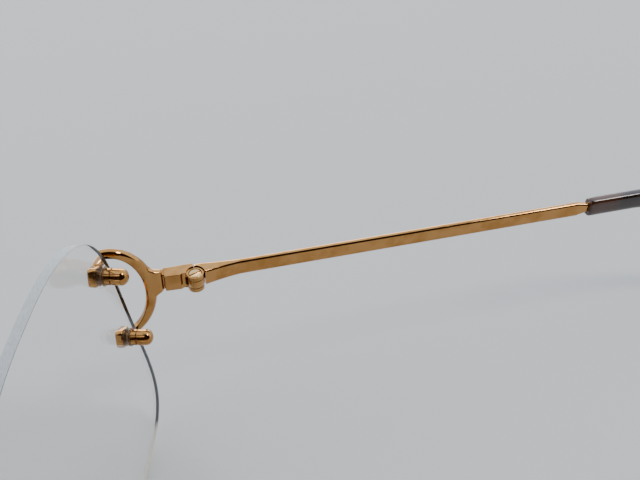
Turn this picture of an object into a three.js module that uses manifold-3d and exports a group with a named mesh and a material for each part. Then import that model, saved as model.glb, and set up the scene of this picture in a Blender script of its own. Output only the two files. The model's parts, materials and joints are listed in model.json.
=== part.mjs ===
// Rimless eyeglass frame, standing open on its lenses and temple tips.
// Millimetres, +Z up, +X towards the wearer's left, -Y the front, +Y the way the temples run.
// Every side piece is modelled once, for the left side, and mirrored for the right one.

import * as THREE from "three";
import { mergeVertices } from "three/addons/utils/BufferGeometryUtils.js";
import Module from "manifold-3d";

// Lenses. The outline is widest at its own zero height, and rises and drops from there.
const LENS_WIDTH = 54;
const LENS_RISE = 22.6;
const LENS_DROP = 27.5;
const LENS_THICKNESS = 1.6;
const LENS_BACK_RADIUS = 260;
const LENS_GAP = 18;
const LENS_HOLE_RADIUS = 0.75;
const lensTilt = THREE.MathUtils.degToRad(7.8);
const lensWrap = THREE.MathUtils.degToRad(13.85);
const lensCornerPowers = { templeTop: 3, templeBottom: 4.1, noseTop: 2.7, noseBottom: 2.3 };

// Lens mounts: post, washers and cap nut on one axis, square to the lens.
const MOUNT_INSET = 2.4;
const MOUNT_SPREAD = 15.4;
const MOUNT_RISE = 0.9;
const BRIDGE_MOUNT_SPREAD = 7.6;
const BRIDGE_MOUNT_RISE = 4;
const PAD_SIZE = 3.5;
const PAD_THICKNESS = 1.4;
const PAD_CORNER = 0.8;
const PAD_EDGE = 0.25;
const PAD_HOLE_DEPTH = 0.9;
const POST_RADIUS = 0.6;
const POST_IN_NUT = 2.4;
const POST_CHAMFER = 0.15;
const WASHER_RADIUS = 1.55;
const WASHER_THICKNESS = 0.2;
const NUT_RADIUS = 1.4;
const NUT_LENGTH = 3.75;
const NUT_BORE_DEPTH = 2.6;
const NUT_FLUTE_DEPTH = 0.12;
const SEAT_GAP = 0.05;

// End bracket: a crescent strip that carries two pads, with a neck to the hinge.
const RING_HALF_HEIGHT = 9.6;
const RING_DEPTH = 6.25;
const RING_AHEAD = 14.1;
const RING_BELOW = 0.4;
const RING_WIDTH_BACK = 2;
const RING_WIDTH_FRONT = 1.4;
const RING_THICKNESS = 1.2;
const RING_TUCK = 0.6;
const RING_EDGE = 0.3;
const NECK_FLARE = 3.2;
const NECK_EDGE = 0.3;
const ringLean = THREE.MathUtils.degToRad(1.5);

// Hinge: a fork leaf on the bracket, a knuckle on the temple, one slotted screw.
const HINGE_OUTSET = 1.6;
const HINGE_SETBACK = 20.2;
const HINGE_ABOVE_WIDEST = 1.1;
const HINGE_HEIGHT = 3.5;
const HINGE_RISE = 0.15;
const HINGE_LEAF_LENGTH = 5.35;
const HINGE_LEAF_TAPER = 0.3;
const HINGE_LEAF_INSET = 0.2;
const HINGE_LEAF_SHOULDER = 1.95;
const BARREL_RADIUS = 1.45;
const BARREL_HEIGHT = 3.3;
const KNUCKLE_HEIGHT = 1.6;
const KNUCKLE_GAP = 0.1;
const KNUCKLE_CLEARANCE = 0.35;
const KNUCKLE_ROOT_LENGTH = 4.2;
const KNUCKLE_ROOT_THICKNESS = 1.7;
const POCKET_CLEARANCE = 0.3;
const BUTT_GAP = 0.06;
const SCREW_RADIUS = 0.6;
const SCREW_HEAD_RADIUS = 1.15;
const SCREW_HEAD_THICKNESS = 0.36;
const SCREW_HEAD_SUNK = 0.05;
const SCREW_SLOT_WIDTH = 0.35;
const SCREW_SLOT_DEPTH = 0.2;
const SCREW_CLEARANCE = 0.05;

// Temples: a flat bar, thick at the hinge, that bends down over the ear inside a plastic tip.
const TEMPLE_LENGTH = 140;
const TEMPLE_HEIGHT = 3.1;
const TEMPLE_THICKNESS = 1.15;
const TEMPLE_OUTSET = 2.5;
const TEMPLE_EDGE = 0.25;
const WEDGE_LENGTH = 8.6;
const WEDGE_INSET = 0.6;
const TEMPLE_DROP = 0.3;
const BEND_START = 91;
const BEND_RADIUS = 22;
const TIP_START = 80;
const TIP_HEIGHT_FRONT = 3.9;
const TIP_HEIGHT_END = 6;
const TIP_THICKNESS = 2.4;
const TIP_TUCK = 3;
const TIP_END_LENGTH = 3;
const CORE_HEIGHT = 1.9;
const CORE_END_INSIDE = 8;
const CORE_TAPER_LENGTH = 2.5;
const CORE_GAP = 0.06;
const tipAngle = THREE.MathUtils.degToRad(40.58);
const templeSplay = THREE.MathUtils.degToRad(4);
const wedgePower = 1.4;

// Bridge: an arched bar with a small crescent and two pads at each end.
const BRIDGE_CRESCENT_DEPTH = 3.4;
const BRIDGE_STRIP_WIDTH = 1.35;
const BRIDGE_STRIP_THICKNESS = 0.9;
const BRIDGE_BAR_HEIGHT = 2.3;
const BRIDGE_BAR_THICKNESS = 1.5;
const BRIDGE_ARCH_RISE = 2.2;
const BRIDGE_ARCH_BOW = 1.1;
const BRIDGE_EDGE = 0.35;

// Nose pads: soldered wire arm with a box, silicone pad on a core, one small screw.
const NOSE_WIRE_RADIUS = 0.5;
const NOSE_ARM_ROOT = 5.6;
const NOSE_ROOT_SIZE = 1.7;
const NOSE_ROOT_DEPTH = 0.7;
const NOSE_PAD_X = 9.4;
const NOSE_PAD_Y = 8.6;
const NOSE_PAD_Z = -7.2;
const NOSE_PAD_HEIGHT = 13.6;
const NOSE_PAD_WIDTH = 8;
const NOSE_PAD_THICKNESS = 2.4;
const NOSE_CORE_HEIGHT = 8;
const NOSE_CORE_WIDTH = 4;
const NOSE_CORE_THICKNESS = 0.5;
const NOSE_LUG_WIDTH = 1.1;
const NOSE_LUG_RADIUS = 0.8;
const NOSE_LUG_REACH = 1.7;
const NOSE_BOX_WALL = 0.45;
const NOSE_BOX_HEIGHT = 2.2;
const NOSE_BOX_GAP = 0.1;
const NOSE_SCREW_RADIUS = 0.35;
const NOSE_SCREW_HEAD_RADIUS = 0.7;
const NOSE_SCREW_HEAD_THICKNESS = 0.35;
const NOSE_SCREW_SLOT_WIDTH = 0.22;
const NOSE_SCREW_SLOT_DEPTH = 0.16;
const nosePadSplay = THREE.MathUtils.degToRad(28);
const nosePadSlope = THREE.MathUtils.degToRad(18);

// One overrun serves every cut.
const CUT_OVERRUN = 1;
const WELD_DISTANCE = 1e-4;

const GOLD = { color: 0xc29a5c, metalness: 1, roughness: 0.22 };
const GOLD_SCREW = { color: 0xd0b073, metalness: 1, roughness: 0.3 };
const CLEAR_PLASTIC = { color: 0xe8ecec, metalness: 0, roughness: 0.2, transparent: true, opacity: 0.6 };
const LENS_GLASS = { color: 0xdfe6e6, metalness: 0, roughness: 0.05, transparent: true, opacity: 0.25 };
const TIP_PLASTIC = { color: 0x3d2416, metalness: 0, roughness: 0.25 };

const AXIS_X = new THREE.Vector3(1, 0, 0);
const AXIS_Y = new THREE.Vector3(0, 1, 0);
const AXIS_Z = new THREE.Vector3(0, 0, 1);
const UNIT_SCALE = new THREE.Vector3(1, 1, 1);

const wasm = await Module();
wasm.setup();

// Solids: from a closed geometry to a boolean solid, and back.
function toSolid(geometry) {
  const bare = geometry.clone();
  bare.deleteAttribute("normal");
  bare.deleteAttribute("uv");
  const merged = mergeVertices(bare, WELD_DISTANCE);
  return new wasm.Manifold(
    new wasm.Mesh({
      numProp: 3,
      vertProperties: new Float32Array(merged.attributes.position.array),
      triVerts: new Uint32Array(merged.index.array),
    }),
  );
}

function toGeometry(solid) {
  const mesh = solid.getMesh();
  const geometry = new THREE.BufferGeometry();
  geometry.setAttribute("position", new THREE.BufferAttribute(new Float32Array(mesh.vertProperties), 3));
  geometry.setIndex(new THREE.BufferAttribute(new Uint32Array(mesh.triVerts), 1));
  return geometry;
}

function joined(...geometries) {
  const solids = geometries.map(toSolid);
  return toGeometry(solids.reduce((whole, piece) => whole.add(piece)));
}

function cut(geometry, ...tools) {
  const solids = tools.map(toSolid);
  return toGeometry(solids.reduce((whole, tool) => whole.subtract(tool), toSolid(geometry)));
}

function common(first, second) {
  return toGeometry(toSolid(first).intersect(toSolid(second)));
}

function placed(geometry, frame) {
  return geometry.clone().applyMatrix4(frame);
}

// A closed skin over rings of points, with a pole before the first ring and one after the last.
function skin(rings, firstPole, lastPole) {
  const count = rings[0].length;
  const points = [firstPole, ...rings.flat(), lastPole];
  const last = rings.length - 1;
  const at = (ring, k) => 1 + ring * count + (k % count);
  const index = [];
  for (let k = 0; k < count; k += 1) {
    index.push(0, at(0, k + 1), at(0, k));
    index.push(points.length - 1, at(last, k), at(last, k + 1));
    for (let ring = 0; ring < last; ring += 1) {
      index.push(at(ring, k), at(ring, k + 1), at(ring + 1, k));
      index.push(at(ring, k + 1), at(ring + 1, k + 1), at(ring + 1, k));
    }
  }
  if (enclosedVolume(points, index) < 0) {
    index.reverse();
  }
  const geometry = new THREE.BufferGeometry().setFromPoints(points);
  geometry.setIndex(index);
  return geometry;
}

function enclosedVolume(points, index) {
  let sum = 0;
  for (let k = 0; k < index.length; k += 3) {
    const [a, b, c] = [points[index[k]], points[index[k + 1]], points[index[k + 2]]];
    sum += a.dot(b.clone().cross(c));
  }
  return sum / 6;
}

// A rectangle with rounded corners, as points around its middle.
function roundedSection(width, height, corner, steps = 2) {
  const points = [];
  for (let quarter = 0; quarter < 4; quarter += 1) {
    const signX = quarter === 0 || quarter === 3 ? 1 : -1;
    const signY = quarter < 2 ? 1 : -1;
    for (let step = 0; step <= steps; step += 1) {
      const angle = ((quarter + step / steps) * Math.PI) / 2;
      const x = signX * (width / 2 - corner) + corner * Math.cos(angle);
      const y = signY * (height / 2 - corner) + corner * Math.sin(angle);
      points.push(new THREE.Vector2(x, y));
    }
  }
  return points;
}

function roundSection(radius, sides) {
  return Array.from({ length: sides }, (_, k) => {
    const angle = (2 * Math.PI * (k + 0.5)) / sides;
    return new THREE.Vector2(radius * Math.cos(angle), radius * Math.sin(angle));
  });
}

// A loft: each station has its middle, the two directions of its section, and the section.
function loft(stations) {
  const rings = stations.map(({ middle, across, up, section }) =>
    section.map((p) => middle.clone().addScaledVector(across, p.x).addScaledVector(up, p.y)),
  );
  return skin(rings, stations[0].middle, stations[stations.length - 1].middle);
}

// A strip swept along a curve. facing gives the direction that its thickness takes at a point.
function sweptStrip(curve, steps, facing, sectionAt) {
  const stations = [];
  for (let step = 0; step <= steps; step += 1) {
    const share = step / steps;
    const middle = curve.getPoint(share);
    const along = curve.getTangent(share);
    const across = along.clone().cross(facing(middle, share)).normalize();
    const up = across.clone().cross(along).normalize();
    stations.push({ middle, across, up, section: sectionAt(share, middle) });
  }
  return loft(stations);
}

// A block between two heights of its axis, along Y, with eased ends.
function easedBlock(section, low, high, lowEase, highEase) {
  const scaled = (share) => section.map((p) => p.clone().multiplyScalar(share));
  const reach = Math.max(...section.map((p) => p.x));
  return loft([
    stationOnY(low, scaled(1 - lowEase / reach)),
    stationOnY(low + lowEase, section),
    stationOnY(high - highEase, section),
    stationOnY(high, scaled(1 - highEase / reach)),
  ]);
}

function stationOnY(y, section) {
  return { middle: new THREE.Vector3(0, y, 0), across: AXIS_Z, up: AXIS_X, section };
}

// A solid of revolution about Y from (radius, height) pairs.
function turned(pairs, segments) {
  const profile = pairs.map(([radius, y]) => new THREE.Vector2(radius, y));
  return new THREE.LatheGeometry(profile, segments);
}

function turnedRod(radius, low, high, segments) {
  return turned([[0, low], [radius, low], [radius, high], [0, high]], segments);
}

// The same, standing along Z.
function uprightRod(radius, low, high, segments) {
  return turnedRod(radius, low, high, segments).rotateX(Math.PI / 2);
}

function boxBetween(low, high) {
  const size = high.clone().sub(low);
  const middle = low.clone().add(high).multiplyScalar(0.5);
  return new THREE.BoxGeometry(size.x, size.y, size.z).translate(middle.x, middle.y, middle.z);
}

// Lens frame: X away from the nose, Y backwards, Z up, on the back surface.
const lensFrame = new THREE.Matrix4().compose(
  new THREE.Vector3((LENS_GAP + LENS_WIDTH) / 2, 0, 0),
  new THREE.Quaternion().setFromEuler(new THREE.Euler(lensTilt, 0, lensWrap)),
  UNIT_SCALE,
);

// Hinge frame: X outboard, Y along the temple, Z up the hinge axis.
const hingeFrame = new THREE.Matrix4().compose(
  new THREE.Vector3(LENS_GAP / 2 + LENS_WIDTH + HINGE_OUTSET, HINGE_SETBACK, HINGE_ABOVE_WIDEST),
  new THREE.Quaternion().setFromAxisAngle(AXIS_Z, -templeSplay),
  UNIT_SCALE,
);
const intoHinge = hingeFrame.clone().invert();

function lensPower(x, z) {
  const { templeTop, templeBottom, noseTop, noseBottom } = lensCornerPowers;
  if (x > 0) {
    return z > 0 ? templeTop : templeBottom;
  }
  return z > 0 ? noseTop : noseBottom;
}

function lensOutline(count) {
  const fine = Array.from({ length: 12 * count + 1 }, (_, k) => {
    const angle = (Math.PI * k) / (6 * count);
    const x = Math.cos(angle);
    const z = Math.sin(angle);
    const bend = 2 / lensPower(x, z);
    const height = z > 0 ? LENS_RISE : LENS_DROP;
    return new THREE.Vector2(
      (Math.sign(x) * Math.abs(x) ** bend * LENS_WIDTH) / 2,
      Math.sign(z) * Math.abs(z) ** bend * height,
    );
  });
  return new THREE.SplineCurve(fine).getSpacedPoints(count).slice(1);
}

// How far the lens edge is from the lens middle at a height, on the temple or the nose side.
function lensEdge(z, side) {
  const power = lensPower(side, z);
  const height = z > 0 ? LENS_RISE : LENS_DROP;
  return (side * LENS_WIDTH * (1 - Math.abs(z / height) ** power) ** (1 / power)) / 2;
}

function sag(x, z, radius) {
  return radius - Math.sqrt(radius * radius - x * x - z * z);
}

function lensPoint(x, z, front) {
  const radius = front ? LENS_BACK_RADIUS + LENS_THICKNESS : LENS_BACK_RADIUS;
  const y = sag(x, z, radius) - (front ? LENS_THICKNESS : 0);
  return new THREE.Vector3(x, y, z);
}

// Mount frame: Y runs backwards through the lens, square to it, from the front surface.
function mountFrame(x, z) {
  const centre = new THREE.Vector3(0, LENS_BACK_RADIUS, 0);
  const back = lensPoint(x, z, false);
  const axis = centre.sub(back).normalize();
  const front = back.clone().addScaledVector(axis, -LENS_THICKNESS);
  const turn = new THREE.Quaternion().setFromUnitVectors(AXIS_Y, axis);
  return lensFrame.clone().multiply(new THREE.Matrix4().compose(front, turn, UNIT_SCALE));
}

function mountAt(side, z) {
  return mountFrame(lensEdge(z, side) - side * MOUNT_INSET, z);
}

const mounts = {
  upper_temple: mountAt(1, MOUNT_RISE + MOUNT_SPREAD / 2),
  lower_temple: mountAt(1, MOUNT_RISE - MOUNT_SPREAD / 2),
  upper_nose: mountAt(-1, BRIDGE_MOUNT_RISE + BRIDGE_MOUNT_SPREAD / 2),
  lower_nose: mountAt(-1, BRIDGE_MOUNT_RISE - BRIDGE_MOUNT_SPREAD / 2),
};

// Places along a mount axis, in the order in which the pieces are put together.
const padBack = -2 * SEAT_GAP - WASHER_THICKNESS;
const padFront = padBack - PAD_THICKNESS;
const rearWasherFront = LENS_THICKNESS + SEAT_GAP;
const nutFront = rearWasherFront + WASHER_THICKNESS + SEAT_GAP;

function lens() {
  const outline = lensOutline(48);
  const ringShares = [0.42, 0.83, 1];
  const ring = (share, front) => outline.map((p) => lensPoint(p.x * share, p.y * share, front));
  const rings = [
    ...ringShares.map((share) => ring(share, false)),
    ...ringShares.toReversed().map((share) => ring(share, true)),
  ];
  const blank = placed(skin(rings, lensPoint(0, 0, false), lensPoint(0, 0, true)), lensFrame);
  const drill = turnedRod(LENS_HOLE_RADIUS, -CUT_OVERRUN, LENS_THICKNESS + CUT_OVERRUN, 8);
  return cut(blank, ...Object.values(mounts).map((frame) => placed(drill, frame)));
}

function mountPad() {
  const outline = roundedSection(PAD_SIZE, PAD_SIZE, PAD_CORNER);
  return easedBlock(outline, padFront, padBack, PAD_EDGE, PAD_EDGE / 2);
}

function padHole() {
  const depth = padBack - PAD_HOLE_DEPTH;
  return turnedRod(POST_RADIUS + SEAT_GAP, depth, padBack + CUT_OVERRUN, 8);
}

function washer(front) {
  const bore = POST_RADIUS + SEAT_GAP;
  const back = front + WASHER_THICKNESS;
  const outside = [[WASHER_RADIUS, front], [WASHER_RADIUS, back]];
  return turned([[bore, front], ...outside, [bore, back], [bore, front]], 10);
}

function post() {
  const start = padBack - PAD_HOLE_DEPTH + SEAT_GAP;
  const end = nutFront + POST_IN_NUT;
  const tip = POST_RADIUS - POST_CHAMFER;
  const side = [[POST_RADIUS, start], [POST_RADIUS, end - POST_CHAMFER]];
  return turned([[0, start], ...side, [tip, end], [0, end]], 8);
}

// The cap nut: fluted sides, one groove round it, and a domed end.
function capNut() {
  const grooveShare = 0.25;
  const grooveWidthShare = 0.04;
  const domeStartShare = 0.74;
  const domeSteps = 2;
  const fluted = (radius, depth) =>
    roundSection(radius, 14).map((p, k) => p.multiplyScalar(k % 2 ? 1 : 1 - depth / radius));
  const station = (share, radius, depth) =>
    stationOnY(nutFront + NUT_LENGTH * share, fluted(radius, depth));
  const full = (share) => station(share, NUT_RADIUS, NUT_FLUTE_DEPTH);
  const waist = NUT_RADIUS - NUT_FLUTE_DEPTH;
  const stations = [
    station(0, waist, 0),
    full(grooveWidthShare),
    full(grooveShare),
    station(grooveShare + grooveWidthShare, waist, 0),
    full(grooveShare + 2 * grooveWidthShare),
    full(domeStartShare),
  ];
  for (let step = 1; step <= domeSteps; step += 1) {
    const angle = (step / (domeSteps + 1)) * (Math.PI / 2);
    const share = domeStartShare + (1 - domeStartShare) * Math.sin(angle);
    stations.push(station(share, NUT_RADIUS * Math.cos(angle), 0));
  }
  const rings = stations.map(({ middle, across, up, section }) =>
    section.map((p) => middle.clone().addScaledVector(across, p.x).addScaledVector(up, p.y)),
  );
  const end = nutFront + NUT_LENGTH;
  const solid = skin(rings, new THREE.Vector3(0, nutFront, 0), new THREE.Vector3(0, end, 0));
  const bore = turnedRod(POST_RADIUS + SEAT_GAP, nutFront - CUT_OVERRUN, nutFront + NUT_BORE_DEPTH, 8);
  return cut(solid, bore);
}

// End bracket, in the hinge frame. The crescent goes round behind the lens edge.
function ringPoint(angle) {
  const z = RING_HALF_HEIGHT * Math.sin(angle) - RING_BELOW;
  const y = RING_DEPTH * Math.cos(angle) - RING_AHEAD - z * Math.tan(ringLean);
  const x = RING_THICKNESS / 2 - RING_TUCK * Math.abs(Math.sin(angle));
  return new THREE.Vector3(x, y, z);
}

// Two points lead an arm from the end of the crescent round the lens edge to its pad.
const armShares = [
  [0.1, 0.35, 0.03],
  [0.45, 0.78, 0.35],
];

function armPoints(from, to) {
  const way = to.clone().sub(from);
  return armShares.map(
    ([x, y, z]) => new THREE.Vector3(from.x + way.x * x, from.y + way.y * y, from.z + way.z * z),
  );
}

function padMiddle(frame) {
  return new THREE.Vector3(0, (padFront + padBack) / 2, 0).applyMatrix4(frame);
}

function endBracket() {
  const upper = padMiddle(mounts.upper_temple).applyMatrix4(intoHinge);
  const lower = padMiddle(mounts.lower_temple).applyMatrix4(intoHinge);
  const quarter = Math.PI / 2;
  const ringSteps = 8;
  const ring = [];
  for (let step = 0; step <= ringSteps; step += 1) {
    ring.push(ringPoint(-quarter + (2 * quarter * step) / ringSteps));
  }
  const top = ring[ringSteps];
  const bottom = ring[0];
  const path = new THREE.CatmullRomCurve3([
    lower,
    ...armPoints(bottom, lower).toReversed(),
    ...ring,
    ...armPoints(top, upper),
    upper,
  ]);
  const forward = new THREE.Vector3(0, -1, 0);
  const facing = (point) => {
    const end = point.z > -RING_BELOW ? top : bottom;
    const pad = point.z > -RING_BELOW ? upper : lower;
    const turn = THREE.MathUtils.clamp((2 * (end.x - point.x)) / (end.x - pad.x), 0, 1) * quarter;
    return AXIS_X.clone().multiplyScalar(Math.cos(turn)).addScaledVector(forward, Math.sin(turn));
  };
  const sectionAt = (_, point) => {
    const height = Math.min(1, Math.abs(point.z + RING_BELOW) / RING_HALF_HEIGHT);
    const width = THREE.MathUtils.lerp(RING_WIDTH_BACK, RING_WIDTH_FRONT, height * height);
    return roundedSection(width, RING_THICKNESS, RING_EDGE);
  };
  const strip = placed(sweptStrip(path, 32, facing, sectionAt), hingeFrame);
  const neck = placed(bracketNeck(), hingeFrame);
  const pads = [mounts.upper_temple, mounts.lower_temple].map((frame) => placed(mountPad(), frame));
  const holes = [mounts.upper_temple, mounts.lower_temple].map((frame) => placed(padHole(), frame));
  return cut(joined(strip, neck, ...pads), ...holes);
}

// The neck leaves the back of the crescent in a flare and thickens to the size of the leaf.
function bracketNeck() {
  const seam = -HINGE_LEAF_LENGTH - SEAT_GAP;
  const start = RING_DEPTH - RING_AHEAD;
  const shares = [
    { along: 0, flare: 1, thick: 0 },
    { along: 0.3, flare: 0.6, thick: 0 },
    { along: 0.6, flare: 0.2, thick: 0.4 },
    { along: 1, flare: 0, thick: 1 },
  ];
  return loft(
    shares.map(({ along, flare, thick }) => {
      const outer = THREE.MathUtils.lerp(RING_THICKNESS, TEMPLE_OUTSET, thick);
      const height = HINGE_HEIGHT + NECK_FLARE * flare;
      return {
        middle: new THREE.Vector3(outer / 2, THREE.MathUtils.lerp(start, seam, along), HINGE_RISE * thick),
        across: AXIS_X,
        up: AXIS_Z,
        section: roundedSection(outer, height, NECK_EDGE),
      };
    }),
  );
}

// Fork leaf of the hinge, in the hinge frame: a block with an upper and a lower barrel.
function forkLeaf() {
  const outline = new THREE.Shape([
    new THREE.Vector2(TEMPLE_OUTSET, -HINGE_LEAF_LENGTH),
    new THREE.Vector2(TEMPLE_OUTSET, -BUTT_GAP / 2),
    new THREE.Vector2(-HINGE_LEAF_INSET, -BUTT_GAP / 2),
    new THREE.Vector2(-HINGE_LEAF_INSET, -HINGE_LEAF_SHOULDER),
    new THREE.Vector2(HINGE_LEAF_TAPER - HINGE_LEAF_INSET, -HINGE_LEAF_LENGTH),
  ]);
  const half = BARREL_HEIGHT / 2;
  const block = new THREE.ExtrudeGeometry(outline, { depth: HINGE_HEIGHT, bevelEnabled: false });
  block.translate(0, 0, HINGE_RISE - HINGE_HEIGHT / 2);
  const well = uprightRod(BARREL_RADIUS, half, half + CUT_OVERRUN, 20);
  const barrel = uprightRod(BARREL_RADIUS, -half, half, 20);
  const gap = KNUCKLE_HEIGHT / 2 + KNUCKLE_GAP;
  const room = uprightRod(BARREL_RADIUS + KNUCKLE_CLEARANCE, -gap, gap, 20);
  const bore = uprightRod(SCREW_RADIUS + SCREW_CLEARANCE, -half - CUT_OVERRUN, half + CUT_OVERRUN, 12);
  const seat = half - SCREW_HEAD_SUNK - SCREW_HEAD_THICKNESS - SCREW_CLEARANCE;
  const sink = uprightRod(SCREW_HEAD_RADIUS + SCREW_CLEARANCE, seat, half + CUT_OVERRUN, 16);
  return cut(joined(cut(block, well), barrel), room, bore, sink);
}

function hingeScrew() {
  const top = BARREL_HEIGHT / 2 - SCREW_HEAD_SUNK;
  const shoulder = top - SCREW_HEAD_THICKNESS;
  const low = -BARREL_HEIGHT / 2 + SCREW_HEAD_SUNK;
  const profile = [[0, low], [SCREW_RADIUS, low], [SCREW_RADIUS, shoulder], [SCREW_HEAD_RADIUS, shoulder]];
  const body = turned([...profile, [SCREW_HEAD_RADIUS, top], [0, top]], 16).rotateX(Math.PI / 2);
  const slot = boxBetween(
    new THREE.Vector3(-SCREW_HEAD_RADIUS - CUT_OVERRUN, -SCREW_SLOT_WIDTH / 2, top - SCREW_SLOT_DEPTH),
    new THREE.Vector3(SCREW_HEAD_RADIUS + CUT_OVERRUN, SCREW_SLOT_WIDTH / 2, top + CUT_OVERRUN),
  );
  return cut(body, slot);
}

// How much of the swelling at the hinge end is left at a place on the bar.
function wedgeShare(along) {
  return THREE.MathUtils.clamp(1 - along / WEDGE_LENGTH, 0, 1) ** wedgePower;
}

// Temple bar, in the hinge frame. A place on it is measured along the bar from the hinge axis.
function templePlace(along) {
  const bendLength = BEND_RADIUS * tipAngle;
  const bent = THREE.MathUtils.clamp(along - BEND_START, 0, bendLength);
  const beyond = Math.max(0, along - BEND_START - bendLength);
  const angle = bent / BEND_RADIUS;
  const y = Math.min(along, BEND_START) + BEND_RADIUS * Math.sin(angle) + beyond * Math.cos(angle);
  const drop = THREE.MathUtils.lerp(TEMPLE_DROP, -HINGE_RISE, wedgeShare(along));
  const z = BEND_RADIUS * (Math.cos(angle) - 1) - beyond * Math.sin(angle) - drop;
  const run = Math.max(0, along - BEND_START) / (TEMPLE_LENGTH - BEND_START);
  const x = TEMPLE_OUTSET - TEMPLE_THICKNESS / 2 - TIP_TUCK * run * run;
  return { middle: new THREE.Vector3(x, y, z), up: new THREE.Vector3(0, Math.sin(angle), Math.cos(angle)) };
}

function templeStation(along, inner, height, corner) {
  const { middle, up } = templePlace(along);
  const outer = TEMPLE_THICKNESS / 2;
  const thickness = outer - inner;
  return {
    middle: middle.clone().addScaledVector(AXIS_X, (outer + inner) / 2),
    across: AXIS_X,
    up,
    section: roundedSection(thickness, height, Math.min(corner, thickness / 3)),
  };
}

// One section of the wedge, which swells inwards and grows higher towards the hinge.
function wedgeStation(along) {
  const swell = wedgeShare(along);
  const thick = TEMPLE_OUTSET + WEDGE_INSET - TEMPLE_THICKNESS;
  const height = THREE.MathUtils.lerp(TEMPLE_HEIGHT, HINGE_HEIGHT, swell);
  return templeStation(along, -TEMPLE_THICKNESS / 2 - thick * swell, height, TEMPLE_EDGE);
}

function templeBlank() {
  const wedgeShares = [0.2, 0.4, 0.6, 0.8, 1];
  const wedge = [BUTT_GAP / 2, ...wedgeShares.map((share) => WEDGE_LENGTH * share)];
  const bar = wedge.map((along) => wedgeStation(along));
  const thin = -TEMPLE_THICKNESS / 2;
  bar.push(templeStation(TIP_START - CORE_TAPER_LENGTH, thin, TEMPLE_HEIGHT, TEMPLE_EDGE));
  coreRun(TIP_START - CORE_GAP, TEMPLE_LENGTH - CORE_END_INSIDE).forEach((along) => {
    bar.push(templeStation(along, thin, CORE_HEIGHT, TEMPLE_EDGE));
  });
  return loft(bar);
}

// Places along the part of the bar that is inside the tip, closer together in the bend.
function coreRun(from, to) {
  const bendEnd = BEND_START + BEND_RADIUS * tipAngle;
  const bendSteps = 4;
  const run = [from];
  for (let step = 0; step <= bendSteps; step += 1) {
    run.push(THREE.MathUtils.lerp(BEND_START, bendEnd, step / bendSteps));
  }
  run.push((bendEnd + to) / 2, to);
  return run;
}

function knuckleRootBox(gap) {
  const half = KNUCKLE_HEIGHT / 2 + gap;
  return boxBetween(
    new THREE.Vector3(-BARREL_RADIUS - gap, 0, -half),
    new THREE.Vector3(KNUCKLE_ROOT_THICKNESS + gap, KNUCKLE_ROOT_LENGTH + gap, half),
  );
}

function temple() {
  const half = HINGE_HEIGHT / 2 + CUT_OVERRUN;
  const pocket = uprightRod(BARREL_RADIUS + POCKET_CLEARANCE, -half, half, 20);
  return cut(templeBlank(), pocket, knuckleRootBox(SEAT_GAP));
}

// The temple's knuckle: the middle barrel, with a root let into the bar.
function templeKnuckle() {
  const half = KNUCKLE_HEIGHT / 2;
  const barrel = uprightRod(BARREL_RADIUS, -half, half, 20);
  const root = common(templeBlank(), knuckleRootBox(0));
  const bore = uprightRod(SCREW_RADIUS + SCREW_CLEARANCE, -half - CUT_OVERRUN, half + CUT_OVERRUN, 12);
  return cut(joined(barrel, root), bore);
}

// Plastic tip: a sleeve over the end of the bar that widens to a paddle.
function templeTip() {
  const end = TEMPLE_LENGTH - TIP_END_LENGTH;
  const run = coreRun(TIP_START, end);
  const station = (along, heightShare, thicknessShare) => {
    const { middle, up } = templePlace(along);
    const spread = THREE.MathUtils.clamp((along - BEND_START) / (end - BEND_START), 0, 1);
    const height = THREE.MathUtils.lerp(TIP_HEIGHT_FRONT, TIP_HEIGHT_END, spread) * heightShare;
    const thickness = TIP_THICKNESS * thicknessShare;
    return { middle, across: AXIS_X, up, section: roundedSection(thickness, height, thickness / 3) };
  };
  const stations = run.map((along) => station(along, 1, 1));
  const endShares = [
    [0.6, 0.8, 0.85],
    [1, 0.4, 0.5],
  ];
  endShares.forEach(([place, height, thickness]) => {
    stations.push(station(end + TIP_END_LENGTH * place, height, thickness));
  });
  const channel = coreRun(TIP_START - CUT_OVERRUN, TEMPLE_LENGTH - CORE_END_INSIDE + CORE_GAP);
  const inner = -TEMPLE_THICKNESS / 2 - CORE_GAP;
  const hollow = channel.map((along) => {
    const wide = templeStation(along, inner, CORE_HEIGHT + 2 * CORE_GAP, TEMPLE_EDGE);
    const room = 2 * CORE_GAP;
    const section = roundedSection(TEMPLE_THICKNESS + room, CORE_HEIGHT + room, TEMPLE_EDGE, 1);
    return { ...wide, middle: templePlace(along).middle, section };
  });
  return cut(loft(stations), loft(hollow));
}

// Bridge: on each side a small crescent between two pads, and an arched bar across the nose.
function bridgeEnd() {
  const upper = padMiddle(mounts.upper_nose);
  const lower = padMiddle(mounts.lower_nose);
  const reach = new THREE.Vector3(-BRIDGE_CRESCENT_DEPTH, 0, 0);
  return { upper, lower, root: upper.clone().add(lower).multiplyScalar(0.5).add(reach) };
}

function barCurve() {
  const { root } = bridgeEnd();
  const shoulderShares = { x: 0.55, rise: 0.72, bow: 0.7 };
  const shoulder = (side) =>
    new THREE.Vector3(
      side * root.x * shoulderShares.x,
      root.y - BRIDGE_ARCH_BOW * shoulderShares.bow,
      root.z + BRIDGE_ARCH_RISE * shoulderShares.rise,
    );
  return new THREE.CatmullRomCurve3([
    root,
    shoulder(1),
    new THREE.Vector3(0, root.y - BRIDGE_ARCH_BOW, root.z + BRIDGE_ARCH_RISE),
    shoulder(-1),
    new THREE.Vector3(-root.x, root.y, root.z),
  ]);
}

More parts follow.
